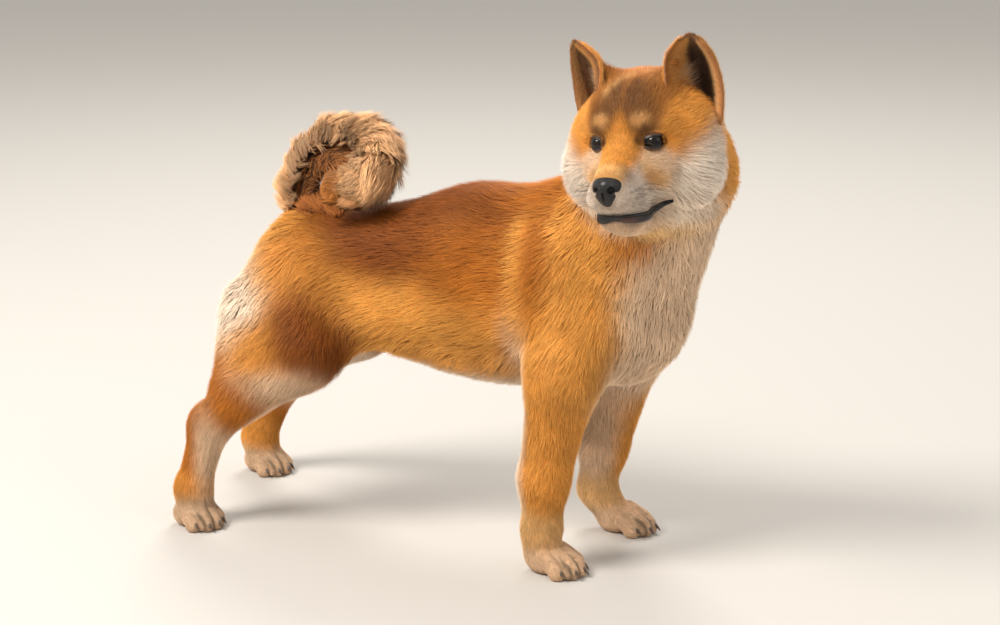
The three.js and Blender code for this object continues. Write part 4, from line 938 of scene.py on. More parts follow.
# Which tufts go into which piece of the coat, by place and coat: the first rule that holds
REGIONS = {
    "coat_head": lambda p, coat: coat.on_head > 0.5,
    "coat_neck": lambda p, coat: p[:, 0] + 0.55 * p[:, 2] > 400,
    "coat_forelegs": lambda p, coat: (p[:, 0] > 140) & (p[:, 2] < 200),
    "coat_chest": lambda p, coat: p[:, 0] > 110,
    "coat_hind_legs": lambda p, coat: (p[:, 0] < 0) & (p[:, 2] < 200),
    "coat_trunk": lambda p, coat: p[:, 0] > -20,
    "coat_rump": lambda p, coat: p[:, 0] > -1000,
}
# The axis that the skin is unwrapped about under each piece, from the foot of the map to its top
AXES = {
    "coat_head": ((230, -60, 440), (400, -200, 420)),
    "coat_neck": ((230, 0, 250), (320, -60, 480)),
    "coat_forelegs": ((200, 0, -10), (200, 0, 210)),
    "coat_chest": ((90, 0, 270), (330, 0, 270)),
    "coat_hind_legs": ((-140, 0, -10), (-140, 0, 210)),
    "coat_trunk": ((-40, 0, 270), (130, 0, 270)),
    "coat_rump": ((-180, 0, 270), (0, 0, 280)),
    "coat_tail": ((-70, -20, 300), (-70, -20, 440)),
    "coat_ear_left": ((348, -84, 440), (348, -84, 540)),
    "coat_ear_right": ((252, -84, 440), (252, -84, 540)),
}
PATCH = 0.003  # how broad the patch of a tuft is on its map
MOST_TRIANGLES = 190000  # in one piece of the coat


def unwrap(points, start, end):
    """A cylindrical unwrap of the skin about an axis: round it across the map, along it up the map."""
    a = np.array(start, float)
    run = np.array(end, float) - a
    along = (points - a) @ run / (run @ run)
    way = unit(run)
    side = unit(np.cross(way, (0.31, 0.77, 0.55)))
    off = points - a - along[:, None] * run
    angle = np.arctan2(off @ np.cross(way, side), off @ side) / (2 * math.pi)
    return np.stack([angle % 1, np.clip(along, 0, 1)], 1)


def coat_pieces(name, tufts, material, bent, kind=None):
    """Meshes of many tufts, each tuft with a small patch of the map at its root's place on the unwrap."""
    most = MOST_TRIANGLES // (9 if bent else 3)
    kind = kind or ("long" if bent else "short")
    parts = np.array_split(np.arange(len(tufts.roots)), max(1, math.ceil(len(tufts.roots) / most)))
    for n, part in enumerate(part for part in parts if len(part)):
        some = tufts.some(part)
        points, faces, normals, tint, count = tuft_mesh(some, bent)
        piece = mesh_object(f"{name}_{kind}_{n + 1}", points, faces, material, tint, normals)
        centre = unwrap(some.roots, *AXES[name]) * (1 - PATCH) + PATCH / 2
        height = np.repeat((-1, 0.4, 1), (3, 3, 1))[-count:] if bent else np.array((-1, -1, -1, 1))
        shape = np.stack([np.resize((-1, 0, 1), count), height], 1) * PATCH / 2
        shape[-1, 0] = 0
        uv = (centre[:, None] + shape).reshape(-1, 2)
        corners = np.concatenate([group.ravel() for group in faces])
        layer = piece.data.uv_layers.new(name="OFBake")
        layer.data.foreach_set("uv", uv[corners].astype(np.float32).ravel())


LONG = 17  # mm, from which a tuft bends
SWIRL = {"length": 46, "share": 0.2}  # waves in the lie of the coat: how long and how strong they are
CURL = {"length": 17, "share": 0.22}  # the same for the curls of long hair
LOCKS = {"long": (7.0, 0.2), "short": (4.0, 0.08)}  # how broad locks are, and how far they draw tufts in


def bare(points):
    """Where nothing grows: on the nose, the lips and the rims of the lids."""
    local = to_head(points)
    no_hair = np.zeros(len(points), bool)
    face = np.flatnonzero((local[:, 0] > 20) & (np.abs(local).max(1) < 130))
    near = local[face]
    slit = np.minimum(out_of_slit(near, LEFT), out_of_slit(near, RIGHT))
    no_hair[face] = (nose_form(near) < 1.2) | (slit < 1.2) | (from_lips(near) < 0.66)
    return no_hair


def on_tail_core(points):
    """Where the skin is the tail's, whose hair grow_tail adds."""
    return (points[:, 2] > 322) & (joined(TAIL_CORE[1:], points) < 2.5)


def laid(roots, normals, coat, long, rng):
    """Where tufts bend and end: along the lie of the coat, and ending about its outer form."""
    count = len(roots)
    length = coat.length * rng.uniform(0.75, 1.2, count)
    depth = coat.depth * ease(1, 10, roots[:, 2])
    swirl = wave_field(roots, SWIRL["length"], 31)
    curl = wave_field(roots, CURL["length"], 61) * ease(LONG - 1, LONG + 2, coat.length)[:, None]
    stray = np.where(long, 0.18, 0.12)[:, None] * rng.normal(size=(count, 3))
    lie = coat.lie + SWIRL["share"] * swirl + CURL["share"] * curl + stray
    lie = unit(lie - (lie * normals).sum(1)[:, None] * normals)
    tips = roots + lie * length[:, None]
    middles = roots + lie * (0.48 * length)[:, None]
    height = depth * np.where(long, rng.uniform(-0.4, 0.4, count), rng.uniform(-0.4, 0.3, count))
    for ends, aim in ((tips, height), (middles, -0.42 * depth)):
        lift = np.clip(aim - flesh(ends), -0.6 * length, 0.5 * length)
        ends += normals * lift[:, None]
    tips[:, 2] = np.maximum(tips[:, 2], 0.5)
    return middles, tips


def drawn_in_locks(roots, tips, long):
    """Draws the tips together in locks, and gives each tuft's leader."""
    leader = np.arange(len(roots))
    for group, (breadth, pull) in ((long, LOCKS["long"]), (~long, LOCKS["short"])):
        which = np.flatnonzero(group)
        tips[which], lead = clumped(roots[which], tips[which], breadth, np.full(len(which), pull), 71)
        leader[which] = which[lead]
    return leader


def grow_coat(points, quads, material):
    """The coat of the body and the head, in tufts from all over the skin."""
    rng = np.random.default_rng(11)

    def allowed(p):
        return ~on_tail_core(p) & (p[:, 2] > 1.5) & ~bare(p)

    roots, normals = roots_on(points, quads, COVER, rng, allowed)
    coat = Coat(roots)
    count = len(roots)
    long = coat.length > LONG
    middles, tips = laid(roots, normals, coat, long, rng)
    leader = drawn_in_locks(roots, tips, long)
    bright = 0.09 * rng.normal(size=count) + 0.06 * rng.normal(size=count)[leader]
    bright = np.exp(bright + 0.08 * waves(roots * (0.5, 1, 1), 22, 5) + 0.06 * waves(roots, 90, 6))[:, None]
    tufts = Tufts(
        roots, middles, tips, normals, coat.breadth,
        marked(roots, coat, coat.root_colour) * bright, marked(roots, coat, coat.tip_colour) * bright,
    )
    dark_hairs = np.exp(-(((coat.local - TICKS[0]) / TICKS[1]) ** 2).sum(1)) * coat.on_head
    tufts.tip_colour[rng.uniform(size=count) < 0.6 * dark_hairs] *= 0.3
    left = np.ones(count, bool)
    for name, rule in REGIONS.items():
        here = left & rule(roots, coat)
        left &= ~here
        for bent in (False, True):
            coat_pieces(name, tufts.some(here & (long == bent)), material, bent)


def curve_points(controls, t):
    """Points and directions of a smooth curve through the controls, t from 0 to 1."""
    spans = len(controls) - 1
    place_on = np.clip(t, 0, 1) * spans
    n = np.minimum(place_on.astype(int), spans - 1)
    f = (place_on - n)[:, None]
    p0, p1 = controls[np.maximum(n - 1, 0)], controls[n]
    p2, p3 = controls[n + 1], controls[np.minimum(n + 2, spans)]
    square, cube = 2 * p0 - 5 * p1 + 4 * p2 - p3, 3 * p1 - p0 - 3 * p2 + p3
    spot = 0.5 * (2 * p1 + (p2 - p0) * f + square * f ** 2 + cube * f ** 3)
    return spot, unit((p2 - p0) + 2 * square * f + 3 * cube * f ** 2)


# The tail: the hollow of its curl, its length, how broad its rounded end is, and along it, how far its hair
# trails and how far out it may end. The inner hair reaches towards a place a little under the hollow.

CURL_HOLLOW = np.array((-66.0, -20.0, 374.0))
TAIL_LENGTH = 330.0
LOBE = 24.0
TAIL_SWEEP = ((0, 0.3, 0.5, 0.65, 0.85, 1), (0.4, 0.3, 0.55, 0.5, 0.9, 1.2))
TAIL_REACH = ((0, 0.35, 0.7, 0.85, 1), (27, 31, 42, 38, 24))
INNER_AIM = CURL_HOLLOW + (-5, 0, -5)
INNER_LENGTH = 34.0
INNER_FROM = math.radians(146)
# Colours of the tail. By the hollow of the curl, on the inner hair that fills it and on the hair under the
# curl they are darker with painted shade.
TAIL_COLOURS = {
    "core": (130, 78, 38),
    "root": (212, 132, 64),
    "tip": (255, 204, 152),
    "root in the shade of the hollow": (130, 68, 24),
    "tip of the lobe": (196, 122, 56),
    "root in the shade inside": (96, 54, 24),
    "tip in the shade inside": (190, 122, 68),
    "root of the shaded nest": (112, 60, 22),
    "tip of the shaded nest": (176, 106, 48),
}
# Where the hair under the curl stands: its middle and half its length along the rump, and its ends across
NEST_X, NEST_HALF, NEST_Y = -82, 24, (-22, 12)


def tail_colour(name):
    return linear(TAIL_COLOURS[name])


def tail_frame(t):
    """The middle of the tail, the way along it, the way out of its curl, and the way to its side."""
    centre, along = curve_points(TAIL_RUN, t)
    out = centre - CURL_HOLLOW
    out = unit(out - (out * along).sum(1)[:, None] * along)
    return centre, along, out, np.cross(along, out)


def tail_ways(t, angle):
    """The middle of the tail, and the way out of it at angles from the outside of its curl.

    Past t = 1 the ways turn round its end.
    """
    centre, along, out, side = tail_frame(np.minimum(t, 1))
    over = np.clip((t - 1) * TAIL_LENGTH / LOBE, 0, 1.5)[:, None]
    way = out * np.cos(angle)[:, None] + side * np.sin(angle)[:, None]
    return centre, way * np.cos(over) + along * np.sin(over)


def in_tail(t, angle, share):
    """Points at a share of the way from the tail's middle line to the tips of its coat."""
    centre, way = tail_ways(t, angle)
    reach = np.full(len(t), 8.0)
    most = np.interp(t, *TAIL_REACH)
    for _ in range(22):
        probe = centre + way * reach[:, None]
        reach += np.where((joined(TAIL_FORM, probe) < 0) & (flesh(probe) > 1) & (reach < most), 2.0, 0)
    return centre + way * (reach * share)[:, None]


def tail_paint(lobe, angle, inner):
    """The colours of the tail's tufts at root and tip: darker with painted shade by the hollow and on the
    inner hair, and deeper on its rounded end.
    """
    lobe, inner, near_hollow = lobe[:, None], inner[:, None], ease(1.1, 2.5, np.abs(angle))[:, None]
    root = tail_colour("root") * (1 - near_hollow) + tail_colour("root in the shade of the hollow") * near_hollow
    tip = tail_colour("tip") * (1 - lobe) + tail_colour("tip of the lobe") * lobe
    # Painted shade towards the hollow
    tip = tip * (1 - 0.35 * near_hollow)
    return np.where(inner, tail_colour("root in the shade inside"), root), np.where(inner, tail_colour("tip in the shade inside"), tip)


def grow_tail(material):
    """The long hair of the tail: from all round its core it sweeps over the sides to the outside."""
    rng = np.random.default_rng(17)
    count = 22000
    t = rng.uniform(0.03, 1.12, count)
    angle = np.radians(rng.uniform(-180, 180, count))
    centre, way = tail_ways(t, angle)
    along = tail_frame(np.minimum(t, 1))[1]
    radius = np.interp(t * (len(CORE_RADII) - 1), np.arange(len(CORE_RADII)), CORE_RADII)
    roots = centre + way * (0.8 * radius)[:, None]
    trail = 0.1 * np.interp(t, *TAIL_SWEEP) * rng.uniform(0.6, 1.3, count)
    end_angle = angle * (0.72 + 0.25 * ease(0.8, 0.96, t)) + 0.12 * rng.normal(size=count)
    share = rng.uniform(0.8, 1.06, count) + 0.06 * waves(roots, 18, 43)
    tips = in_tail(t + trail, end_angle, share)
    middles = in_tail(t + 0.4 * trail, 0.5 * (angle + end_angle), 0.7)
    inner = (np.abs(angle) > INNER_FROM) & (t < 0.94)
    into = INNER_AIM + rng.normal(size=(count, 3)) * (11, 7, 9) - roots
    stretch = np.minimum(rng.uniform(0.6, 1.1, count), INNER_LENGTH / np.linalg.norm(into, axis=1))
    fill = into * stretch[:, None]
    tips = np.where(inner[:, None], roots + fill, tips)
    middles = np.where(inner[:, None], roots + 0.5 * fill + 3 * along, middles)
    tips, leader = clumped(roots, tips, 8.0, np.where(inner, 0, 0.45), 91)
    lobe = ease(0.78, 0.96, t)
    bright = (0.1 + 0.1 * lobe) * rng.normal(size=count) + 0.08 * rng.normal(size=count)[leader]
    root_colour, tip_colour = tail_paint(lobe, angle, inner)
    facing = unit(0.8 * tail_ways(t, np.clip(1.6 * angle, -1.4, 1.4))[1] + (0, 0, 0.9))
    tufts = Tufts(
        roots, middles, tips, facing, np.full(count, 1.1),
        root_colour * np.exp(bright)[:, None], tip_colour * np.exp(bright)[:, None],
    )
    coat_pieces("coat_tail", tufts, material, True)
    grow_tail_nest(material)


def grow_tail_nest(material):
    """The upright hair of the rump that closes the gap between the root of the tail and its rolled end,
    darkened as painted shade under the curl.
    """
    rng = np.random.default_rng(19)
    count = 2400
    off = rng.uniform(-1, 1, count)
    x, y = NEST_X + NEST_HALF * off, rng.uniform(*NEST_Y, count)
    low, high = np.full(count, 270.0), np.full(count, 350.0)
    for _ in range(14):
        z = (low + high) / 2
        inside = flesh(np.stack([x, y, z], 1)) < -4
        low, high = np.where(inside, z, low), np.where(inside, high, z)
    roots = np.stack([x, y, z], 1)
    way = unit(np.array((-0.1, -0.1, 1)) + 0.3 * rng.normal(size=(count, 3)))
    length = (rng.uniform(13, 23, count) * np.sqrt(1 - 0.8 * off ** 2))[:, None]
    bright = np.exp(0.14 * rng.normal(size=count))[:, None]
    aside = (2 * y - sum(NEST_Y)) / (NEST_Y[1] - NEST_Y[0])
    facing = unit(np.stack([0 * y, aside, 0 * y + 0.8], 1))
    tufts = Tufts(
        roots, roots + 0.5 * length * way, roots + length * way + (-3, 0, 0), facing, np.full(count, 1.2),
        tail_colour("root of the shaded nest") * bright, tail_colour("tip of the shaded nest") * bright,
    )
    coat_pieces("coat_tail", tufts, material, True, "nest")


# The skin

FLESH_NODES = [
    "head", "lower_jaw", "neck", "chest", "loin", "tail_base", "tail_arch", "tail_fan", "tail_tip",
    "foreleg_left", "foreleg_right", "thigh_left", "thigh_right", "shank_left", "shank_right", *PAWS,
]
# Where the grid that the skin is meshed on lies, where its cells are finer, and how far it is shifted so
# that its lines miss the planes of the sculpt
SKIN_BOX = ((-264, 402), (-200, 134), (-3, 520))
FACE_BOX = ((250, 354), (-188, -96), (368, 486))
GRID_SHIFT = 0.37


def build_skin(material):
    """One closed skin over body, head and tail, painted with the markings of the coat."""
    coarse, fine = ((2.6, 1.5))
    axes = [
        grid_lines(low - GRID_SHIFT, high, coarse, fine, face)
        for (low, high), face in zip(SKIN_BOX, FACE_BOX)
    ]
    points, quads = surface(skin_form, axes)
    coat = Coat(points)
    colour = marked(points, coat, 0.7 * coat.root_colour + 0.3 * coat.tip_colour) * 0.9
    colour[on_tail_core(points)] = tail_colour("core")
    skin = mesh_object("skin", points, quads, material, colour)
    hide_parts(*FLESH_NODES)
    return points, quads


# Eyes

PUPIL_COLOUR, IRIS_COLOUR = (8, 6, 5), (30, 17, 11)


def build_eyes():
    """Each eye as a ball with a bulge in front, a dark brown iris and a black pupil."""
    material = tinted_material("eye")
    rings, sides = 40, 48
    polar = np.linspace(0.001, math.pi - 0.001, rings)[:, None]
    around = np.linspace(0, 2 * math.pi, sides, endpoint=False)[None]
    radius = EYE["radius"] + EYE["bulge"] * (1 - ease(0.25, 0.75, polar))
    streak = 1 + 0.25 * np.sin(17 * around) * np.sin(5 * around + 1)
    iris = linear(IRIS_COLOUR) * streak[..., None] * np.ones((rings, 1, 1))
    dark = linear(PUPIL_COLOUR)
    colour = dark + (iris - dark) * (ease(0.36, 0.42, polar) * (1 - ease(0.62, 0.74, polar)))[..., None]
    for name, side in SIDES.items():
        gaze, outward, upward = gaze_frame(side)
        local = (
            eye_centre(side)
            + (radius * np.cos(polar))[..., None] * np.ones((1, sides, 1)) * gaze
            + (radius * np.sin(polar) * np.cos(around))[..., None] * outward
            + (radius * np.sin(polar) * np.sin(around))[..., None] * upward
        )
        faces = loft_faces(rings, sides)[:, ::-side]
        points = from_head(local.reshape(-1, 3))
        piece = mesh_object(f"eyeball_{name}", points, faces, material, colour.reshape(-1, 3))
        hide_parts(f"eye_{name}")


# Both lids of an eye, from the ball out under the coat: how far out of the slit and from the eye's middle
LID_PROFILE = [
    (0.90, 10.4), (0.93, 11.1), (0.97, 11.6), (1.03, 11.9),
    (1.11, 12.0), (1.22, 12.0), (1.4, 11.9), (1.65, 11.4),
]
LID_LEAST = 11.3  # how near the middle of the eye the lids may come, so that they cover the ball
LID_SUNK = 1.2  # how far under the outer form of the head the lids end
LID_COLOUR, LID_EDGE_COLOUR = (16, 12, 10), (58, 36, 22)


def on_lids(side, angle, stretch):
    """Points of the lids at angles round the slit, by how far out of it they are."""
    radius = np.interp(stretch, *np.transpose(LID_PROFILE))
    gaze, outward, upward = gaze_frame(side)
    along = LIDS["half_length"] * np.sign(np.cos(angle)) * np.abs(np.cos(angle)) ** 1.1
    height = np.sin(angle) * np.where(np.sin(angle) > 0, LIDS["above"], LIDS["below"])
    rim = along[:, None] * outward + height[:, None] * upward
    beyond = LIDS["breadth"] * np.maximum(stretch - 1, 0)
    spread = rim * np.minimum(stretch, 1)[:, None] + unit(rim) * beyond[:, None]
    flat = np.minimum(np.linalg.norm(spread, axis=1), radius * 0.97)
    ahead = np.sqrt(radius ** 2 - flat ** 2)
    local = eye_centre(side) + unit(spread) * flat[:, None] + ahead[:, None] * gaze
    under = local
    for _ in range(3):
        under = under - gradient(head_form, under) * (head_form(under) + LID_SUNK)[:, None]
    local = local + (under - local) * ease(1.1, 1.4, stretch)[:, None]
    ray = local - eye_centre(side)
    over = np.linalg.norm(ray, axis=1) > LID_LEAST
    return np.where((over | (stretch < 1))[:, None], local, eye_centre(side) + LID_LEAST * unit(ray))


def build_lids(fur):
    """The lids as one almond-shaped fold that rises from the ball, rolls over and dips under the coat."""
    material = tinted_material("lid")
    steps = 56
    angle = np.linspace(0, 2 * math.pi, steps, endpoint=False)
    for name, side in SIDES.items():
        rings, tints = [], []
        for stretch, _ in LID_PROFILE:
            rings.append(on_lids(side, angle, np.full(steps, stretch)))
            bare_rim = 1 - ease(1.12, 1.3, stretch)
            paint = linear(LID_COLOUR) * bare_rim + linear(LID_EDGE_COLOUR) * (1 - bare_rim)
            tints.append(np.tile(paint, (steps, 1)))
        faces = loft_faces(len(rings), steps)[:, ::side]
        points = from_head(np.concatenate(rings))
        mesh_object(f"lids_{name}", points, faces, material, np.concatenate(tints))
    lid_fur(fur)


def lid_fur(material):
    """Fine short hair over both lids, away from the slit."""
    rng = np.random.default_rng(29)
    count = 2600
    for name, side in SIDES.items():
        angle = rng.uniform(0, 2 * math.pi, count)
        stretch = rng.uniform(1.14, 1.6, count)
        local = on_lids(side, angle, stretch)
        further = on_lids(side, angle, stretch + 0.1)
        normal = unit(local - eye_centre(side))
        way = unit(unit(further - local) + (-0.5, 0, 0) + 0.22 * normal + 0.15 * rng.normal(size=(count, 3)))
        tips = local + way * rng.uniform(2.2, 3.6, count)[:, None]
        roots = from_head(local)
        coat = Coat(roots)
        bright = (np.exp(0.1 * rng.normal(size=count)) * (0.45 + 0.55 * ease(1.14, 1.4, stretch)))[:, None]
        tufts = Tufts(
            roots, roots, from_head(tips), normal @ HEAD_TURN.T, np.full(count, 0.32),
            marked(roots, coat, coat.root_colour) * bright, marked(roots, coat, coat.tip_colour) * bright,
        )
        coat_pieces("coat_head", tufts, material, False, f"lid_{name}")


# Nose and mouth

NOSE = [egg((91, 0, -26), (13.5, 14, 10.5), 4), egg((90.5, 0, -34.5), (12.8, 9.5, 11), 12)]
NOSTRILS = [
    mass
    for side in (LEFT, RIGHT)
    for mass in (
        egg((104.5, side * 7.2, -28), (5.5, 3, 3.2), 2),
        limb((103, side * 8.5, -30), (97, side * 15, -33), 1.8, 1, 2),
    )
]
PHILTRUM = limb((105, 0, -30), (102, 0, -48), 0.9, 0.9, 1.5)


def nose_form(local):
    d = joined(NOSE, local)
    for hollow in (*NOSTRILS, PHILTRUM):
        d = smooth_max(d, -hollow.distance(local), hollow.blend)
    return d


def build_nose():
    step = 0.75
    axes = [grid_lines(low, high, step) for low, high in ((74, 108), (-19, 19), (-51, -10))]
    points, quads = surface(nose_form, axes)
    piece = mesh_object("nose_leather", from_head(points), quads, nose_material())
    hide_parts("nose")


# The mouth: how far forward in the head the middle of its arc is, and its height by the angle from ahead
MOUTH_MIDDLE = 24
MOUTH_HEIGHTS = ((0, 18, 32, 44, 52, 60, 68), (-55.5, -57, -58.6, -58.8, -58.2, -56.6, -53.8))


def on_mouth(angles):
    """Points of the outer form on the line of the mouth, at angles from straight ahead."""
    height = np.interp(np.abs(np.degrees(angles)), *MOUTH_HEIGHTS)
    low, high = np.zeros(len(angles)), np.full(len(angles), 80.0)
    for _ in range(16):
        reach = (low + high) / 2
        spot = np.stack([MOUTH_MIDDLE + reach * np.cos(angles), reach * np.sin(angles), height], 1)
        inside = flesh(from_head(spot)) < 0
        low, high = np.where(inside, reach, low), np.where(inside, high, reach)
    return spot


def lip_line(steps):
    """The line between the lips from corner to corner in even steps, and the ways out of it."""
    end = MOUTH_HEIGHTS[0][-1]
    line = on_mouth(np.radians(np.linspace(-end, end, 160)))
    run = np.concatenate([[0], np.cumsum(np.linalg.norm(np.diff(line, axis=0), axis=1))])
    even = np.linspace(0, run[-1], steps)
    line = np.stack([np.interp(even, run, line[:, n]) for n in range(3)], 1)
    return line, unit(np.cross(np.gradient(line, axis=0), (0, 0, 1.0)))


def lip_taper(share):
    """How thick the lips are along their line, from -1 to 1: thin in front and at the corners."""
    return (0.3 + 0.7 * (1 - np.abs(share) ** 4)) * (1 - 0.4 * np.exp(-(share / 0.14) ** 2))


# The dark band of the lips: spots along it and half its breadth there
BAND = lip_line(61)[0] - (0, 0, 2.6)
BAND_HALF = 4.4 * lip_taper(np.linspace(-1, 1, len(BAND)))


def from_lips(local):
    """How far each point is from the dark band of the lips: 1 at its edge."""
    away = np.full(len(local), 99.0)
    for spot, half in zip(BAND, BAND_HALF):
        away = np.minimum(away, np.linalg.norm(local - spot, axis=1) / half)
    return away


# Both lips: how far over the line each is, how thick it is outwards and upwards, and how pink it is at most
LIPS = [("upper_lip", 1.0, 1.6, 1.5, 0), ("lower_lip", -3.0, 2.2, 3.4, 0.3)]
LIP_COLOUR, LIP_PINK = (20, 15, 14), (128, 84, 70)


def build_lips():
    """The upper and the lower lip as two soft rolls that meet along the line of the mouth."""
    material = tinted_material("lip_leather")
    steps, sides = 96, 12
    line, out = lip_line(steps)
    share = np.linspace(-1, 1, steps)
    taper = lip_taper(share)[:, None]
    turn = np.linspace(0, 2 * math.pi, sides, endpoint=False)
    upward = np.array((0, 0, 1.0))
    for name, rise, thick, tall, most_pink in LIPS:
        centre = line - 1.2 * out + upward * rise * taper
        rings = (
            centre[:, None]
            + (thick * taper * np.cos(turn))[..., None] * out[:, None]
            + (tall * taper * np.sin(turn))[..., None] * upward
        )
        pink = most_pink * np.exp(-((share - 0.16) / 0.12) ** 2)[:, None]
        colour = linear(LIP_COLOUR) + (linear(LIP_PINK) - linear(LIP_COLOUR)) * pink
        tint = np.repeat(colour, sides, axis=0)
        points, faces = from_head(rings.reshape(-1, 3)), loft_faces(steps, sides)
        mesh_object(name, points, faces, material, tint)


# Ears

EAR = {
    "front": [(20, 38, 30), (13, 31, 48), (4, 30, 70), (1, 44, 87)],
    "outer": [(-6, 70, 4), (-10, 73, 32), (-9, 69, 62), (0, 59, 86)],
    "back": [(-36, 44, 10), (-34, 46, 42), (-20, 48, 70), (-3, 52, 89)],
}
EAR_HEIGHT = 88.0
EAR_LEAN = {"left": 2, "right": 9}  # how far the tip leans out
EAR_SPREAD = {"left": 2, "right": -5}  # how far the outer rim stands out
EAR_TOP = 0.94  # how far up the solid ear its skin reaches, as fur makes the rest
# Colours of an ear: its inside, the painted shade deep in its cup, and its outside
EAR_INSIDE, EAR_SHADED_HOLLOW, EAR_OUTSIDE = linear((196, 146, 116)), linear((70, 42, 28)), linear((188, 114, 52))
EAR_SHADE = {"left": 0.88, "right": 0.15}  # how much painted shade darkens each cup deep inside; the left cup lies more in shade
CUP_SHADE = ((0, 0.22, 0.42, 0.86, 0.97), (0, 0.2, 1, 0.9, 0))  # and where across the cup the painted shade lies


def ear_edge(name, edge, t):
    """Points up one edge of an ear, or up the middle of its back."""
    points = np.array(EAR[edge], float)
    points[:, 1] += EAR_LEAN[name] * (points[:, 2] / EAR_HEIGHT) ** 1.5
    points[:, 1] += EAR_SPREAD[name] * (edge == "outer")
    return curve_points(points * (1, SIDES[name], 1), t)[0]


def ear_sheet(name, t, s):
    """The cup of an ear at heights t, from its front rim at s = 0 round its back to its outer rim at s = 1.

    Gives the points, the way out of the cup, its thickness, the way across it, and the way out of the ear.
    """
    front, outer, back = (ear_edge(name, edge, t) for edge in ("front", "outer", "back"))
    hold = 2 * back - 0.5 * front - 0.5 * outer
    s = s[:, None]
    sheet = (1 - s) ** 2 * front + 2 * s * (1 - s) * hold + s ** 2 * outer
    middle = (front + outer) / 2
    away = unit(sheet - middle + 9 * unit(back - middle))
    thick = (4.2 - 2.4 * t)[:, None] * (0.5 + 0.5 * np.sin(math.pi * s))
    return sheet, away, thick, unit(outer - front), unit(sheet - 0.5 * (middle + back))


def ear_top(s):
    """How far up the skin of an ear reaches round its cup, lower at both rims so that its tip is round."""
    return EAR_TOP - 0.07 * (2 * s - 1) ** 2


def build_ears(fur):
    """Each ear as a thin cup of skin with fur on both sides."""
    skin = skin_material()
    rows, columns = 36, 28
    grid_t, grid_s = np.meshgrid(np.linspace(0, 1, rows), np.linspace(0, 1, columns), indexing="ij")
    grid_t = grid_t * ear_top(grid_s)
    for name, side in SIDES.items():
        sheet, away, thick, _, _ = ear_sheet(name, grid_t.ravel(), grid_s.ravel())
        inside = sheet.reshape(rows, columns, 3)
        outside = (sheet + away * thick * 0.7).reshape(rows, columns, 3)
        rings = np.concatenate([inside, outside[:, ::-1]], 1)
        faces = loft_faces(rows, 2 * columns)[:, ::side]
        cap = np.arange(2 * columns)[None, ::side] + (rows - 1) * 2 * columns
        # Painted shade deep in the cup
        deep = (EAR_SHADE[name] * np.interp(grid_s, *CUP_SHADE) * (1 - 0.6 * grid_t))[..., None]
        inner_colour = EAR_INSIDE * (1 - deep) + EAR_SHADED_HOLLOW * deep
        outer_colour = np.tile(EAR_OUTSIDE, (rows, columns, 1))
        tint = np.concatenate([inner_colour, outer_colour], 1).reshape(-1, 3)
        points = from_head(rings.reshape(-1, 3))
        piece = mesh_object(f"ear_skin_{name}", points, [faces, cap], skin, tint)
        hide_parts(f"ear_{name}")
        ear_fur(name, fur)


# The hair of an ear: how many tufts, where round the cup, whether on its outside, how long and broad, the
# way they lie (up the ear, across its opening, out of its surface), and their colours at root and tip
EAR_FUR = [
    ("back", 7600, (0, 1), True, 6, 0.45, (1, 0, 0.25), (200, 118, 44), (234, 156, 74)),
    ("front rim", 3200, (0, 0.08), True, 9, 0.45, (0.9, 0.5, 0.5), (208, 128, 56), (242, 176, 104)),
    ("front band", 3600, (0, 0.24), False, 9, 0.5, (0.8, 0.9, 0.5), (204, 124, 52), (240, 174, 100)),
    ("outer rim", 3600, (0.9, 1), True, 8, 0.45, (1, -0.3, 0.5), (206, 132, 66), (242, 184, 116)),
    ("outer band", 2600, (0.88, 1), False, 7, 0.5, (0.8, -0.9, 0.5), (186, 120, 66), (232, 178, 120)),
    ("lining", 6400, (0.12, 0.94), False, 6, 0.5, (1, 0, 0.5), (156, 106, 72), (220, 170, 126)),
    ("fringe", 400, (0.1, 0.5), False, 16, 0.6, (0.9, 0.7, 0.5), (160, 116, 80), (222, 184, 146)),
]


def ear_fur(name, material):
    """Short fur over the back of an ear, thick rims, and long pale hair out of its cup."""
    rng = np.random.default_rng(23)
    shade = EAR_SHADE[name]
    for kind, amount, (low_s, high_s), on_back, size, breadth, lie, root_paint, tip_paint in EAR_FUR:
        count = amount
        s = rng.uniform(low_s, high_s, count)
        t = rng.uniform(0, 0.5 if kind == "fringe" else 1, count) * ear_top(s)
        base, away, thick, across, outwards = ear_sheet(name, t, s)
        up_ear = unit(ear_sheet(name, np.minimum(t + 0.02, 1), s)[0] - ear_sheet(name, t - 0.02, s)[0])
        normal = away if on_back else -away
        roots = base + (thick * 0.7 * away if on_back else 0)
        way = up_ear * lie[0] + across * lie[1] + normal * lie[2] + 0.16 * rng.normal(size=(count, 3))
        length = size * rng.uniform(0.7, 1.2, count) * (1 - 0.4 * ease(0.8, 1, t))
        tips = roots + unit(way) * length[:, None]
        # Painted shade deep in the cup, as on its skin
        hollow = 0 if on_back else shade * np.interp(s, *CUP_SHADE) * (1 - ease(0.6, 1, t))
        bright = (np.exp(0.16 * rng.normal(size=count)) * (1 - hollow))[:, None]
        facing = unit((outwards if on_back else normal) + 0.8 * unit(way))
        tufts = Tufts(
            from_head(roots), from_head((roots + tips) / 2), from_head(tips), facing @ HEAD_TURN.T,
            np.full(count, breadth), linear(root_paint) * bright, linear(tip_paint) * bright,
        )
        label = kind.replace(" ", "_")
        coat_pieces(f"coat_ear_{name}", tufts, material, False, label)


# Claws and whiskers

# Along a claw from its root: how far forward, how high and how thick it is
CLAW = [(0, 9, 2.6), (4, 9.2, 2.5), (7.5, 8.2, 2.1), (10, 6.4, 1.5), (11.6, 4.2, 0.8), (12, 3.2, 0.2)]
CLAW_SIDES = 10
CLAW_COLOURS = {"root": (46, 34, 29), "tip": (96, 76, 62)}


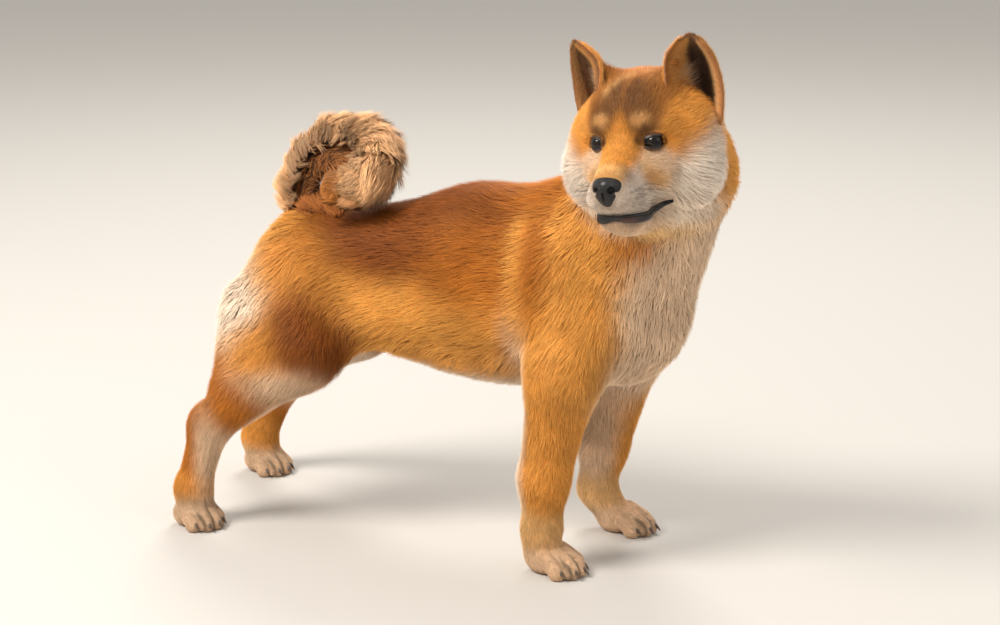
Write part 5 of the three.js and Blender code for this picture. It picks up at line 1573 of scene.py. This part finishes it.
def claw_ring(paw, toe, forward, up, radius):
    across, reach = toe
    ring = []
    for a in np.linspace(0, 2 * math.pi, CLAW_SIDES, endpoint=False):
        aside = across * (1 + forward / 120) + 0.8 * radius * math.cos(a)
        ring.append(on_foot(paw, reach + forward, aside, up + radius * math.sin(a)))
    return np.array(ring)


def build_claws():
    material = tinted_material("claw_horn")
    root, tip = linear(CLAW_COLOURS["root"]), linear(CLAW_COLOURS["tip"])
    tint = [root + (tip - root) * forward / 14 for forward, _, _ in CLAW]
    tint = np.repeat(tint, CLAW_SIDES, axis=0)
    claw_faces = loft_faces(len(CLAW), CLAW_SIDES)
    for name, paw in PAWS.items():
        points = np.concatenate([claw_ring(paw, toe, *station) for toe in TOES for station in CLAW])
        faces = np.concatenate([claw_faces + n * len(tint) for n in range(len(TOES))])
        mesh_object(f"claws_{name}", points, faces, material, np.tile(tint, (len(TOES), 1)))


WHISKER_COLOUR = (84, 72, 64)


def build_whiskers():
    """Fine curved spikes that point back from the upper rows of spots on the muzzle."""
    rng = np.random.default_rng(41)
    roots, tips, ways = [], [], []
    for side in (LEFT, RIGHT):
        for height, first in WHISKER_ROWS[:3]:
            for n in range(4):
                seed = np.array([[first + WHISKER_STEP * n, side * 19, height]])
                for _ in range(3):
                    slope = gradient(head_form, seed)
                    seed = seed - slope * (head_form(seed) + 2)[:, None]
                way = unit(np.array((-0.55 + 0.2 * n, side, -0.1 + 0.125 * rng.normal())))
                roots.append(seed[0])
                ways.append(way)
                tips.append(seed[0] + way * rng.uniform(18, 34) + np.array((-6, 0, -5)))
    roots, tips, ways = np.array(roots), np.array(tips), np.array(ways)
    paint = np.tile(linear(WHISKER_COLOUR), (len(roots), 1))
    normals = np.cross(ways, (0, 0, 1.0))
    tufts = Tufts(roots, roots + 14 * ways, tips, normals, np.full(len(roots), 0.3), paint, paint)
    points, faces, _, tint, _ = tuft_mesh(tufts, True)
    mesh_object("whiskers", from_head(points), faces, tinted_material("whisker"), tint)


# Studio

# The camera: its place in the sculpt's frame, angles in degrees, and lens and film in millimetres
CAMERA = {"at": (1118.4, -2063.8, 770.0), "azimuth": 26.0, "down": 13.1, "lens": 85.0, "film": 36.0}
FLOOR_HALF = 6.0  # metres
# The lights: azimuth and height in degrees, distance and size in metres, power in watts, and colour
LIGHTS = [
    ("key", -30, 48, 3.2, 1.4, 104, (1.0, 0.95, 0.88)),
    ("fill", 80, 30, 3.6, 2.2, 12, (1.0, 0.97, 0.93)),
    ("rim", 200, 50, 3.4, 1.2, 50, (1.0, 0.96, 0.9)),
]


def build_camera():
    data = bpy.data.cameras.new("camera")
    data.lens = CAMERA["lens"]
    data.sensor_width = CAMERA["film"]
    camera = add_object("camera", data)
    camera.location = Vector(place(np.array(CAMERA["at"])))
    camera.rotation_euler = (math.radians(90 - CAMERA["down"]), 0, math.radians(CAMERA["azimuth"]))
    bpy.context.scene.camera = camera


def build_floor():
    material, _, _, shader = new_material("floor")
    set_inputs(shader, {"Base Color": (0.62, 0.6, 0.57, 1), "Roughness": 0.9})
    mesh = bpy.data.meshes.new("floor")
    corners = [(FLOOR_HALF * x, FLOOR_HALF * y, 0) for x, y in ((-1, -1), (1, -1), (1, 1), (-1, 1))]
    mesh.from_pydata(corners, [], [(0, 1, 2, 3)])
    mesh.materials.append(material)
    floor = add_object("floor", mesh)


def build_light(name, azimuth, height, distance, size, power, colour):
    data = bpy.data.lights.new(name, "AREA")
    data.shape = "DISK"
    data.size = size
    data.energy = power
    data.color = colour
    light = add_object(name, data)
    a, h = math.radians(azimuth), math.radians(height)
    way = Vector((math.sin(a) * math.cos(h), -math.cos(a) * math.cos(h), math.sin(h)))
    light.location = way * distance + Vector((0, 0, 0.25))
    light.rotation_euler = way.to_track_quat("Z", "Y").to_euler()


def build_studio():
    world = bpy.data.worlds.new("studio")
    world.use_nodes = True
    set_inputs(world.node_tree.nodes["Background"], {"Color": (0.92, 0.88, 0.83, 1), "Strength": 0.7})
    bpy.context.scene.world = world
    bpy.context.scene.view_settings.view_transform = "Standard"
    build_floor()
    for light in LIGHTS:
        build_light(*light)


build_camera()
build_studio()
FUR = tinted_material("coat")
skin_points, skin_quads = build_skin(skin_material())
grow_coat(skin_points, skin_quads, FUR)
grow_tail(FUR)
build_eyes()
build_lids(FUR)
build_nose()
build_lips()
build_ears(FUR)
build_claws()
build_whiskers()
